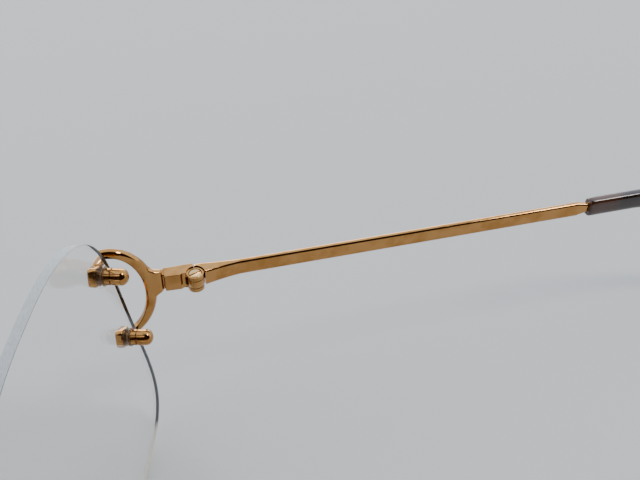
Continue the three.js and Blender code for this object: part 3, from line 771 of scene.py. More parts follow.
@dataclass(frozen=True)
class LensRim:
    """The polished edge of a lens, painted with light: greyish painted reflection, painted shade
    beside the temple, and creamy painted reflection near the table.

    Each of its three colours varies between two. The painted shade begins where the distance from
    the middle of the frame, less a share of the height, passes dark_from. Places are in metres.
    """

    name: str = "lens_rim"
    slot: str = "lens"
    grind_stretch: tuple[float, float, float] = (1500, 6000, 1500)
    # painted shade beside the temple, then the greyish and the creamy painted reflections
    dark: tuple[Colour, Colour] = ((0.006, 0.006, 0.006), (0.02, 0.019, 0.018))
    painted_grey_reflection: tuple[Colour, Colour] = ((0.3, 0.31, 0.31), (0.55, 0.56, 0.56))
    painted_cream_reflection: tuple[Colour, Colour] = ((0.82, 0.75, 0.6), (0.94, 0.89, 0.76))
    dark_lean: float = 0.089
    dark_from: tuple[float, float] = (0.0538, 0.0556)
    grey_from: tuple[float, float] = (0.005, 0.03)

    def material(self) -> bpy.types.Material:
        """Builds the finish.

        Returns:
            The material.
        """
        palette = Palette(bpy.data.materials.new(self.name))
        grind = palette.noise(1, 3, palette.stretched(self.grind_stretch))
        height = palette.along(Z)
        outset = palette.maths("ABSOLUTE", palette.along(X), 0) - height * self.dark_lean
        # painted shade beside the temple, over greyish painted reflection above and creamy painted
        # reflection near the table
        dark, painted_grey_reflection, painted_cream_reflection = (palette.blend(grind, *c) for c in (self.dark, self.painted_grey_reflection, self.painted_cream_reflection))
        light = palette.blend(height.between(*self.grey_from), painted_cream_reflection, painted_grey_reflection)
        return palette.surface(
            Base_Color=palette.blend(outset.between(*self.dark_from), light, dark),
            Roughness=grind * 0.2 + 0.3,
            Specular_IOR_Level=0.05,
            IOR=1.04,
            Normal=palette.bump(grind, 0.00001, 0.3),
        )


@dataclass(frozen=True)
class ClearPlastic:
    """Clear plastic with a colour: amber in the washers, a painted reflection of the gold nut and
    pad, and milky in the silicone nose pads.
    """

    name: str = "clear_plastic"
    slot: str = "washer"
    # amber here: a painted reflection of the gold nut and pad; the silicone pads pass their own
    # milky colours
    tint_and_painted_reflection: Colour = (0.54, 0.37, 0.21)
    cloudy: Colour = (0.44, 0.29, 0.16)
    roughness: float = 0.12
    transmission: float = 0.9

    def material(self) -> bpy.types.Material:
        """Builds the finish.

        Returns:
            The material.
        """
        palette = Palette(bpy.data.materials.new(self.name))
        cloud = palette.noise(500, 3)
        return palette.surface(
            Base_Color=palette.blend(cloud.between(0.4, 0.7), self.tint_and_painted_reflection, self.cloudy),
            Roughness=cloud * 0.1 + self.roughness,
            IOR=1.42,
            Transmission_Weight=self.transmission,
            Normal=palette.bump(cloud, 0.00002, 0.2),
        )


@dataclass(frozen=True)
class TipPlastic:
    """Dark brown polished plastic, faintly cloudy."""

    name: str = "tip_plastic"
    slot: str = "temple_tip"
    dark: Colour = (0.018, 0.007, 0.004)
    light: Colour = (0.075, 0.026, 0.01)

    def material(self) -> bpy.types.Material:
        """Builds the finish.

        Returns:
            The material.
        """
        palette = Palette(bpy.data.materials.new(self.name))
        cloud = palette.noise(140, 4)
        scuffs = palette.noise(1600, 3)
        return palette.surface(
            Base_Color=palette.blend(cloud.between(0.4, 0.66), self.dark, self.light),
            Roughness=scuffs.between(0.5, 0.8) * 0.12 + 0.16,
            IOR=1.49,
            Coat_Weight=0.3,
            Normal=palette.bump(scuffs, 0.00001, 0.25),
        )


@dataclass(frozen=True)
class FloorPaper:
    """The pale paper that the frame stands on."""

    name: str = "floor_paper"
    slot: str = ""
    colour: Colour = (0.508, 0.502, 0.488)
    cloud_share: float = 0.97

    def material(self) -> bpy.types.Material:
        """Builds the finish.

        Returns:
            The material.
        """
        palette = Palette(bpy.data.materials.new(self.name))
        fibre = palette.noise(900, 4)
        cloud = palette.noise(7, 2)
        darker = tuple(self.cloud_share * part for part in self.colour)
        return palette.surface(
            Base_Color=palette.blend(cloud, self.colour, darker),
            Roughness=0.75,
            Normal=palette.bump(fibre, 0.00002, 0.2),
        )


class Finishes:
    """Every finish of the object, each made once."""

    def __init__(self) -> None:
        """Builds the materials. The wall of a drilled hole is gold: a painted reflection of the
        post in it.
        """
        pale, worn = (0.62, 0.42, 0.2), (0.5, 0.3, 0.12)
        # colours of the lens hole's wall: a painted reflection of the post, and a darker painted
        # reflection
        painted_post_reflection, painted_post_reflection_dark = (0.3, 0.16, 0.065), (0.16, 0.085, 0.035)
        milky, yellowed = (0.92, 0.92, 0.89), (0.86, 0.85, 0.79)
        self.kinds = {
            "gold": GoldPlate(),
            "screw": GoldPlate("screw_metal", "screw_metal", pale, worn, shine=0.2),
            "lens": LensGlass(),
            "rim": LensRim(),
            # the lens hole's wall: metal coloured with the painted reflection of the post
            "bore": GoldPlate("lens_bore", "lens", painted_post_reflection, painted_post_reflection_dark, shine=0.3),
            # the washers' amber colour is a painted reflection of the gold nut and pad
            "washer": ClearPlastic(),
            "silicone": ClearPlastic("silicone", "nose_pad", milky, yellowed, roughness=0.25),
            "tip": TipPlastic(),
        }
        self.materials = {key: kind.material() for key, kind in self.kinds.items()}

    def dress(self, piece: bpy.types.Object, *keys: str) -> None:
        """Gives a piece its finish.

        Args:
            piece: the piece.
            *keys: its finishes, one for each of its material slots.
        """
        for key in keys:
            piece.data.materials.append(self.materials[key])


# ---------------------------------------------------------------------------------------------
# The frame's own places
# ---------------------------------------------------------------------------------------------


@dataclass(frozen=True)
class Layout:
    """Where the left side's pieces are, in millimetres and degrees.

    The numbers are the solids' own, but for temple_bottom, which is 4.1 there: the photograph
    shows a squarer corner.
    """

    lens_width: float = 54
    lens_rise: float = 22.6
    lens_drop: float = 27.5
    lens_thickness: float = 1.6
    back_radius: float = 260
    lens_gap: float = 18
    tilt: float = 7.8
    wrap: float = 13.85
    temple_top: float = 3
    temple_bottom: float = 5
    nose_top: float = 2.7
    nose_bottom: float = 2.3
    mount_inset: float = 2.4
    mount_spread: float = 15.4
    mount_rise: float = 0.9
    nose_mount_spread: float = 7.6
    nose_mount_rise: float = 4
    hinge_outset: float = 1.6
    hinge_setback: float = 20.2
    hinge_rise: float = 1.1
    splay: float = 4
    pad_place: tuple[float, float, float] = (9.4, 8.6, -7.2)
    pad_splay: float = 28
    pad_slope: float = 18

    def hinge_middle(self) -> Vector:
        """The middle of the left hinge."""
        outer = self.lens_gap / 2 + self.lens_width + self.hinge_outset
        return Vector((outer, self.hinge_setback, self.hinge_rise))

    def to_row(self) -> Matrix:
        """From the layout's millimetres to the solids' metres, by the left hinge's own place.

        Returns:
            The matrix that leads from one to the other.
        """
        joint = next(j for j in frame["joints"] if j["name"] == "left_temple_hinge")
        shift = Vector(joint["pos_m"]) - self.hinge_middle() * MM
        return Matrix.Translation(shift) @ Matrix.Scale(MM, 4)

    def lens(self) -> Matrix:
        """The left lens: X away from the nose, Y backwards, on its back surface.

        Returns:
            Its place.
        """
        middle = Vector(((self.lens_gap + self.lens_width) / 2, 0, 0))
        turn = Matrix.Rotation(math.radians(self.tilt), 4, "X")
        return Matrix.Translation(middle) @ turn @ Matrix.Rotation(math.radians(self.wrap), 4, "Z")

    def hinge(self) -> Matrix:
        """The left hinge: X outwards, Y along the temple, Z up its axis."""
        turn = Matrix.Rotation(math.radians(-self.splay), 4, "Z")
        return Matrix.Translation(self.hinge_middle()) @ turn

    def nose_pad(self) -> Matrix:
        """The left nose pad: X from the pad to its box, Y along its screw.

        Returns:
            Its place.
        """
        turn = Matrix.Rotation(math.radians(-self.pad_splay), 4, "Z")
        turn = turn @ Matrix.Rotation(math.radians(-self.pad_slope), 4, "Y")
        return Matrix.Translation(self.pad_place) @ turn

    def power(self, x: float, z: float) -> float:
        """How square the lens outline is in one of its four corners.

        Args:
            x: above 0 on the temple's side.
            z: above 0 in the upper half.

        Returns:
            The power of its curve there.
        """
        if x > 0:
            return self.temple_top if z > 0 else self.temple_bottom
        return self.nose_top if z > 0 else self.nose_bottom

    def outline_point(self, angle: float) -> Vector:
        """A point of the lens outline.

        Args:
            angle: the direction from the middle, in radians.

        Returns:
            The point.
        """
        x, z = math.cos(angle), math.sin(angle)
        bend = 2 / self.power(x, z)
        height = self.lens_rise if z > 0 else self.lens_drop
        across = math.copysign(abs(x) ** bend, x) * self.lens_width / 2
        return Vector((across, 0, math.copysign(abs(z) ** bend, z) * height))

    def edge(self, z: float, side: int) -> float:
        """How far the outline is from the lens middle at a height.

        Args:
            z: the height.
            side: 1 towards the temple, -1 towards the nose.

        Returns:
            The distance, below 0 towards the nose.
        """
        height = self.lens_rise if z > 0 else self.lens_drop
        power = self.power(side, z)
        return side * self.lens_width / 2 * (1 - abs(z / height) ** power) ** (1 / power)

    def sag(self, point: Vector) -> float:
        """How far back the lens is at a point, against its middle."""
        radius = self.back_radius
        return radius - math.sqrt(radius * radius - point.x * point.x - point.z * point.z)

    def mount(self, side: int, z: float) -> Matrix:
        """A mount: Y backwards through the lens, square to it, from the front surface.

        Args:
            side: 1 beside the temple, -1 beside the nose.
            z: its height on the lens.

        Returns:
            Its place.
        """
        x = self.edge(z, side) - side * self.mount_inset
        back = Vector((x, 0, z))
        back.y = self.sag(back)
        axis = (Vector((0, self.back_radius, 0)) - back).normalized()
        front = back - axis * self.lens_thickness
        turn = Y.rotation_difference(axis).to_matrix().to_4x4()
        return self.lens() @ Matrix.Translation(front) @ turn

    def mounts(self) -> dict[str, Matrix]:
        """The four mounts of the left lens.

        Returns:
            Their places, by name.
        """
        temple, nose = self.mount_spread / 2, self.nose_mount_spread / 2
        return {
            "upper_temple": self.mount(1, self.mount_rise + temple),
            "lower_temple": self.mount(1, self.mount_rise - temple),
            "upper_nose": self.mount(-1, self.nose_mount_rise + nose),
            "lower_nose": self.mount(-1, self.nose_mount_rise - nose),
        }


class Workshop:
    """Sets finished pieces into the frame, on both sides."""

    def __init__(self, layout: Layout, finishes: Finishes) -> None:
        """Keeps the layout and the finishes at hand.

        Args:
            layout: the layout.
            finishes: the finishes.
        """
        self.layout = layout
        self.finishes = finishes
        self.to_row = layout.to_row()

    def fit(
        self,
        piece: bpy.types.Object,
        nodes: Sequence[str],
        body: str,
        finishes: Sequence[str],
        smooth: float = SMOOTH,
    ) -> None:
        """Fits one piece that is already seated.

        Args:
            piece: the piece.
            nodes: the solids that it stands for.
            body: the body that it moves with.
            finishes: the finishes of its material slots.
            smooth: the angle up to which its edges are shaded smooth.
        """
        polish(piece, smooth)
        self.finishes.dress(piece, *finishes)
        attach(piece, body)
        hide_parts(*nodes)

    def fit_pair(
        self,
        piece: bpy.types.Object,
        place: Matrix,
        node: str,
        carrier: Carrier,
        finishes: Sequence[str],
        smooth: float = SMOOTH,
    ) -> None:
        """Fits a left piece and its mirror image.

        Args:
            piece: the left piece, in its own place.
            place: from there to the layout.
            node: the solid that it stands for, without its side.
            carrier: what it moves with.
            finishes: the finishes of its material slots.
            smooth: the angle up to which its edges are shaded smooth.
        """
        name = piece.name
        seated(piece, self.to_row @ place)
        piece.name = f"left_{name}"
        twin = mirror_image(piece, f"right_{name}")
        for side, one in ((Side.LEFT, piece), (Side.RIGHT, twin)):
            self.fit(one, [f"{side.value}_{node}"], carrier.body(side), finishes, smooth)


# ---------------------------------------------------------------------------------------------
# Sub-assemblies
# ---------------------------------------------------------------------------------------------


@dataclass
class Lenses:
    """The two drilled lenses."""

    shop: Workshop
    corners: int = 192
    hole_radius: float = 0.72
    edge_ease: float = 0.16
    rim_slope: float = 0.93
    fine_steps: int = 4000
    ring_shares: tuple[float, ...] = (0.985, 0.93, 0.84, 0.72, 0.58, 0.43, 0.28, 0.14)

    def outline(self) -> list[Vector]:
        """Points at even distances round the lens.

        Returns:
            The points.
        """
        turns = (math.tau * step / self.fine_steps for step in range(self.fine_steps + 1))
        fine = [self.shop.layout.outline_point(turn) for turn in turns]
        lengths = [0.0]
        for a, b in zip(fine, fine[1:]):
            lengths.append(lengths[-1] + (b - a).length)
        points, at = [], 0
        for k in range(self.corners):
            wanted = lengths[-1] * k / self.corners
            while lengths[at + 1] < wanted:
                at += 1
            points.append(fine[at])
        return points

    def blank(self) -> bpy.types.Object:
        """The lens before it is drilled: a rim, drawn in to the middle, dished and thickened.

        Returns:
            The lens.
        """
        bpy.ops.mesh.primitive_circle_add(vertices=self.corners, radius=1)
        piece = named("lens_blank")
        layout = self.shop.layout
        with shaping(piece) as mesh:
            for vert, point in zip(mesh.verts, self.outline()):
                vert.co = point
            bpy.ops.mesh.select_all(action="SELECT")
            last = 1.0
            for share in self.ring_shares:
                bpy.ops.mesh.extrude_edges_move()
                ratio = share / last
                bpy.ops.transform.resize(value=(ratio, ratio, ratio), center_override=(0, 0, 0))
                last = share
            bpy.ops.mesh.extrude_edges_move()
            bpy.ops.mesh.merge(type="CENTER")
            mesh = bmesh.from_edit_mesh(piece.data)
            for vert in mesh.verts:
                vert.co.y = layout.sag(vert.co)
            bpy.ops.mesh.select_all(action="SELECT")
            bpy.ops.mesh.extrude_region_move(
                TRANSFORM_OT_translate={"value": (0, -layout.lens_thickness, 0)}
            )
        face_outwards(piece)
        return piece

    def build(self) -> None:
        """Models, drills and fits both lenses."""
        piece = self.blank()
        into = self.shop.layout.lens().inverted()
        holes = [into @ place for place in self.shop.layout.mounts().values()]
        for hole in holes:
            drill = rod("drill", self.hole_radius, -1, self.shop.layout.lens_thickness + 1, Y, 24)
            seated(drill, hole)
            work_in(piece, drill, Join.CUT)
        ease(piece, self.edge_ease)
        finishes = ("lens", "rim", "bore")
        # edge faces take the rim's painted shade and painted reflections; the walls of the holes
        # take the painted reflection of the post
        for face in piece.data.polygons:
            nearest = min((face.center - hole.to_translation()).xz.length for hole in holes)
            if abs(face.normal.y) < self.rim_slope:
                drilled = nearest <= self.hole_radius + self.edge_ease
                face.material_index = finishes.index("bore" if drilled else "rim")
        self.shop.fit_pair(piece, self.shop.layout.lens(), "lens", Carrier.FRONT, finishes, 30)


@dataclass
class LensMounts:
    """The post, the two washers and the cap nut at each drilled hole."""

    shop: Workshop
    gap: float = 0.05
    pad_size: float = 3.25
    pad_corner: float = 0.7
    pad_ease: float = 0.28
    pad_thickness: float = 1.4
    pad_hole_depth: float = 0.9
    post_radius: float = 0.6
    post_in_nut: float = 2.4
    thread_pitch: float = 0.3
    thread_depth: float = 0.07
    post_end_share: float = 0.8
    washer_radius: float = 1.65
    washer_thickness: float = 0.2
    washer_ease: float = 0.08
    nut_radius: float = 1.4
    nut_length: float = 3.75
    nut_chamfer: float = 0.12
    nut_bore_depth: float = 2.6
    flutes: int = 10
    flute_depth: float = 0.2
    flute_radius: float = 0.2
    flute_end_share: float = 0.7
    groove_share: float = 0.27
    groove_depth: float = 0.25
    groove_slope: float = 0.06
    groove_width: float = 0.2
    dome_share: float = 0.7
    dome_steps: int = 10

    def __post_init__(self) -> None:
        """Works out the places along a mount, from front to back."""
        self.pad_back = -2 * self.gap - self.washer_thickness
        self.rear_washer = self.shop.layout.lens_thickness + self.gap
        self.nut_front = self.rear_washer + self.washer_thickness + self.gap

    def post(self) -> bpy.types.Object:
        """A threaded post.

        Returns:
            The post.
        """
        start = self.pad_back - self.pad_hole_depth + self.gap
        end = self.nut_front + self.post_in_nut
        root = self.post_radius - self.thread_depth
        profile = [(0.0, start), (root, start)]
        turns = int((end - start) / self.thread_pitch)
        for turn in range(turns):
            crest = start + (turn + 0.5) * self.thread_pitch
            profile.append((self.post_radius, crest))
            profile.append((root, crest + self.thread_pitch / 2))
        profile += [(root * self.post_end_share, end), (0.0, end)]
        return turned("post", profile, 20)

    def washer(self, name: str, front: float) -> bpy.types.Object:
        """A clear washer with eased edges.

        Args:
            name: the washer's name.
            front: where its front is.

        Returns:
            The washer.
        """
        bore = self.post_radius + self.gap
        back = front + self.washer_thickness
        corners = [(bore, front), (self.washer_radius, front), (self.washer_radius, back)]
        piece = turned(name, [*corners, (bore, back), (bore, front)], 48)
        ease(piece, self.washer_ease, 3)
        return piece

    def cap_nut(self) -> bpy.types.Object:
        """A cap nut: fluted sides, a groove round it, a smooth domed end.

        Returns:
            The nut.
        """
        front, length, radius = self.nut_front, self.nut_length, self.nut_radius
        bore = self.post_radius + self.gap
        floor = front + self.nut_bore_depth
        groove = front + length * self.groove_share
        dome = front + length * self.dome_share
        chamfer, slope, waist = self.nut_chamfer, self.groove_slope, radius - self.groove_depth
        profile = [(0.0, floor), (bore, floor), (bore, front), (radius - chamfer, front)]
        profile += [(radius, front + chamfer), (radius, groove), (waist, groove + slope)]
        groove += self.groove_width
        profile += [(waist, groove), (radius, groove + slope), (radius, dome)]
        for step in range(1, self.dome_steps):
            angle = step / self.dome_steps * QUARTER
            profile.append(
                (radius * math.cos(angle), dome + (front + length - dome) * math.sin(angle))
            )
        profile.append((0.0, front + length))
        nut = turned("cap_nut", profile, 72)
        self.flute(nut, front, dome)
        return nut

    def flute(self, nut: bpy.types.Object, front: float, dome: float) -> None:
        """Mills the flutes, each with a round run-out at the dome.

        Args:
            nut: the nut.
            front: where its front is.
            dome: where its dome begins.
        """
        cutter = self.flute_radius
        middle = self.nut_radius + cutter - self.flute_depth
        profile = [(0.0, front - 1), (cutter, front - 1), (cutter, dome)]
        end = cutter * self.flute_end_share
        profile += [(end, dome + end), (0.0, dome + cutter)]
        for step in range(self.flutes):
            mill = turned("mill", profile, 16)
            angle = math.tau * (step + 0.5) / self.flutes
            place = Vector((middle * math.cos(angle), 0, middle * math.sin(angle)))
            seated(mill, Matrix.Translation(place))
            work_in(nut, mill, Join.CUT)

    def build(self) -> None:
        """Models each piece once, and fits a copy of it at every mount."""
        front_washer = self.pad_back + self.gap
        masters = {
            "post": (self.post(), "screw"),
            "front_washer": (self.washer("front_washer", front_washer), "washer"),
            "rear_washer": (self.washer("rear_washer", self.rear_washer), "washer"),
            "cap_nut": (self.cap_nut(), "gold"),
        }
        for mount, place in self.shop.layout.mounts().items():
            for kind, (master, finish) in masters.items():
                take(master)
                bpy.ops.object.duplicate()
                piece = named(f"{mount}_{kind}_turned")
                self.shop.fit_pair(piece, place, f"{mount}_{kind}", Carrier.FRONT, (finish,), 32)
        for master, _ in masters.values():
            bpy.data.objects.remove(master)

    def pad(self, name: str, turn: float = 0) -> bpy.types.Object:
        """A square pad that lies on the front washer, with rounded corners.

        Args:
            name: the piece's name.
            turn: how far it is turned about its post, in degrees.

        Returns:
            The pad.
        """
        half = self.pad_size / 2
        low = (-half, self.pad_back - self.pad_thickness, -half)
        piece = block(name, low, (half, self.pad_back, half))
        with shaping(piece):
            pick(piece, "edges", lambda e: abs((e.verts[0].co - e.verts[1].co).y) > 0.1)
            bpy.ops.mesh.bevel(offset=self.pad_corner, segments=4, affect="EDGES")
        hole = rod("hole", self.post_radius + self.gap, -self.pad_hole_depth, 1, Y, 24)
        seated(hole, Matrix.Translation((0, self.pad_back, 0)))
        work_in(piece, hole, Join.CUT)
        ease(piece, self.pad_ease, 4)
        return seated(piece, Matrix.Rotation(math.radians(turn), 4, "Y"))

    def pad_middle(self, place: Matrix) -> Vector:
        """The middle of the pad at a mount."""
        return place @ Vector((0, self.pad_back - self.pad_thickness / 2, 0))


@dataclass
class EndBrackets:
    """The crescent strips that carry the lenses, with their pads and necks.

    Each of the neck's sections has its share of the neck's length, its lowest and highest place,
    and its inner and outer place.
    """

    shop: Workshop
    mounts: LensMounts
    hinges: "Hinges"
    half_height: float = 9.6
    depth: float = 6.25
    ahead: float = 14.1
    below: float = 0.4
    width_back: float = 2
    width_front: float = 1.4
    thickness: float = 1.2
    tuck: float = 0.6
    lean: float = 1.5
    pad_turn: float = 25
    ring_steps: int = 8
    strip_steps: int = 96
    strip_corners: tuple[float, ...] = (0.25, 0.15, 0.2, 1)
    neck_corners: tuple[float, ...] = (0.2, 0.5, 0.35, 0.15)
    neck_shift: float = 0.01
    arm_shares: tuple[tuple[float, float, float], ...] = ((0.1, 0.35, 0.03), (0.45, 0.78, 0.35))
    neck_sections: tuple[tuple[float, float, float, float, float], ...] = (
        (0, -3.5, 4.1, 0, 1.2),
        (0.2, -2.8, 3.55, 0, 1.2),
        (0.4, -2.25, 3.25, 0, 1.15),
        (0.6, -1.85, 3.1, 0, 1.1),
        (0.7, -1.72, 3.05, 0.07, 1.1),
        (0.78, -1.65, 2.95, 0.2, 1.15),
        (0.85, -1.6, 2.8, 0.4, 1.2),
        (0.9, -1.58, 2.5, 0.6, 1.3),
        (0.91, -1.56, 1.85, 0.6, 2.4),
        (1, -1.56, 1.85, 0.65, 2.45),
    )

    def ring_point(self, angle: float) -> Vector:
        """A point of the crescent's middle line, in the hinge's frame.

        Args:
            angle: the direction from the crescent's middle, in radians.

        Returns:
            The point.
        """
        z = self.half_height * math.sin(angle) - self.below
        y = self.depth * math.cos(angle) - self.ahead - z * math.tan(math.radians(self.lean))
        return Vector((self.thickness / 2 - self.tuck * abs(math.sin(angle)), y, z))

    def arm(self, start: Vector, end: Vector) -> list[Vector]:
        """Two points that lead an arm round the lens edge to its pad."""
        way = end - start
        return [start + Vector(a * b for a, b in zip(way, share)) for share in self.arm_shares]

    def strip(self) -> bpy.types.Object:
        """The crescent with its two arms.

        Returns:
            The strip.
        """
        into = self.shop.layout.hinge().inverted()
        places = self.shop.layout.mounts()
        upper = into @ self.mounts.pad_middle(places["upper_temple"])
        lower = into @ self.mounts.pad_middle(places["lower_temple"])
        turns = (2 * QUARTER * step / self.ring_steps for step in range(self.ring_steps + 1))
        ring = [self.ring_point(-QUARTER + turn) for turn in turns]
        points = [lower, *reversed(self.arm(ring[0], lower)), *ring]
        points += [*self.arm(ring[-1], upper), upper]

        def facing(point: Vector) -> Vector:
            """The direction of the strip's thickness, which turns along each arm."""
            end, pad = (ring[-1], upper) if point.z > -self.below else (ring[0], lower)
            share = 2 * (end.x - point.x) / (end.x - pad.x)
            turn = max(0.0, min(1.0, share)) * QUARTER
            return X * math.cos(turn) - Y * math.sin(turn)

        def width(point: Vector) -> float:
            """The strip's width, which is least at its two ends."""
            height = min(1.0, abs(point.z + self.below) / self.half_height)
            return self.width_back + (self.width_front - self.width_back) * height * height

        section = cushion(self.width_back, self.thickness, self.strip_corners)
        path = smooth_path(points, self.strip_steps)
        return strip_along("crescent", path, facing, width, self.thickness, section)

    def neck(self) -> bpy.types.Object:
        """The neck, which flares into the crescent and turns in behind the hinge leaf.

        Returns:
            The neck.
        """
        start = self.depth - self.ahead
        length = -self.hinges.leaf_length - start
        stations = []
        for share, low, high, inner, outer in self.neck_sections:
            x = (outer + inner) / 2 + self.neck_shift
            middle = Vector((x, start + length * share, (low + high) / 2))
            stations.append(Station(middle, X, Z, outer - inner, high - low))
        section = cushion(self.thickness, 2 * self.hinges.leaf_height, self.neck_corners)
        return drawn("bracket_neck", stations, section)

    def build(self) -> None:
        """Models and fits both brackets."""
        hinge = self.shop.layout.hinge()
        for piece in (self.strip(), self.neck()):
            self.shop.fit_pair(piece, hinge, "end_bracket", Carrier.FRONT, ("gold",))
        for name in ("upper_temple", "lower_temple"):
            place = self.shop.layout.mounts()[name]
            pad = self.mounts.pad(f"{name}_pad", self.pad_turn)
            self.shop.fit_pair(pad, place, "end_bracket", Carrier.FRONT, ("gold",))


@dataclass
class Hinges:
    """The fork leaves, the middle barrels on the temples, and the screws."""

    shop: Workshop
    height: float = 3.3
    outset: float = 2.5
    leaf_height: float = 3.5
    leaf_rise: float = 0.15
    leaf_length: float = 5.35
    leaf_inset: float = 0.2
    leaf_taper: float = 0.3
    leaf_edge: float = 0.14
    leaf_ease: float = 0.04
    butt_gap: float = 0.03
    barrel_radius: float = 1.45
    well_clearance: float = 0.15
    scallop_radius: float = 0.7
    scallop_place: tuple[float, float, float] = (-0.4, -2, 0)
    knuckle_height: float = 1.5
    knuckle_gap: float = 0.15
    knuckle_clearance: float = 0.35
    root_length: float = 4.2
    root_inner: float = 0.8
    root_outer: float = 1.7
    root_step: float = 0.1
    knuckle_ease: float = 0.06
    screw_radius: float = 0.6
    head_radius: float = 1.15
    head_thickness: float = 0.36
    head_sunk: float = 0.05
    head_edge: tuple[float, float] = (0.12, 0.1)
    slot_turn: float = 70
    slot_width: float = 0.35
    slot_depth: float = 0.2
    screw_ease: float = 0.03
    gap: float = 0.05

    def fork_leaf(self) -> bpy.types.Object:
        """A block, tapered on its inner face, with an upper and a lower barrel.

        Returns:
            The leaf.
        """
        half = self.height / 2
        low = Vector((-self.leaf_inset, -self.leaf_length, self.leaf_rise - self.leaf_height / 2))
        high = (self.outset, -self.butt_gap, low.z + self.leaf_height)
        leaf = block("fork_leaf", low, high)
        with shaping(leaf):
            pick(leaf, "edges", lambda e: all((v.co - low).xy.length < DOUBLED for v in e.verts))
            bpy.ops.transform.translate(value=(self.leaf_taper, 0, 0))
            bpy.ops.mesh.select_all(action="SELECT")
            bpy.ops.mesh.bevel(offset=self.leaf_edge, segments=3, affect="EDGES")
        scallop = rod("scallop", self.scallop_radius, -3, 3, Z, 48)
        seated(scallop, Matrix.Translation(self.scallop_place))
        work_in(leaf, scallop, Join.CUT)
        well = rod("well", self.barrel_radius + self.well_clearance, half, half + 1, Z, 64)
        work_in(leaf, well, Join.CUT)
        barrel = rod("barrel", self.barrel_radius, -half, half, Z, 64)
        work_in(leaf, barrel, Join.ADD)
        gap = self.knuckle_height / 2 + self.knuckle_gap
        room = rod("room", self.barrel_radius + self.knuckle_clearance, -gap, gap, Z, 64)
        work_in(leaf, room, Join.CUT)
        work_in(leaf, rod("bore", self.screw_radius + self.gap, -half - 1, half + 1, Z), Join.CUT)
        seat = half - self.head_sunk - self.head_thickness - self.gap
        sink = rod("sink", self.head_radius + self.gap, seat, half + 1, Z, 48)
        work_in(leaf, sink, Join.CUT)
        ease(leaf, self.leaf_ease)
        return leaf

    def screw(self) -> bpy.types.Object:
        """The slotted screw.

        Returns:
            The screw.
        """
        top = self.height / 2 - self.head_sunk
        shoulder = top - self.head_thickness
        low = -self.height / 2 + self.head_sunk
        profile = [(0.0, low), (self.screw_radius, low), (self.screw_radius, shoulder)]
        width, height = self.head_edge
        profile += [(self.head_radius, shoulder), (self.head_radius, top - height)]
        profile += [(self.head_radius - width, top), (0.0, top)]
        screw = turned("hinge_screw_turned", profile, 48)
        seated(screw, Matrix.Rotation(QUARTER, 4, "X"))
        reach, half = self.head_radius + 1, self.slot_width / 2
        slot = block("slot", (-reach, -half, top - self.slot_depth), (reach, half, top + 1))
        seated(slot, Matrix.Rotation(math.radians(self.slot_turn), 4, "Z"))
        work_in(screw, slot, Join.CUT)
        ease(screw, self.screw_ease)
        return screw

    def build(self) -> None:
        """Models and fits the front leaves and the screws."""
        hinge = self.shop.layout.hinge()
        leaf = self.fork_leaf()
        self.shop.fit_pair(leaf, hinge, "hinge_fork_leaf", Carrier.FRONT, ("gold",), 20)
        self.shop.fit_pair(self.screw(), hinge, "hinge_screw", Carrier.FRONT, ("screw",))


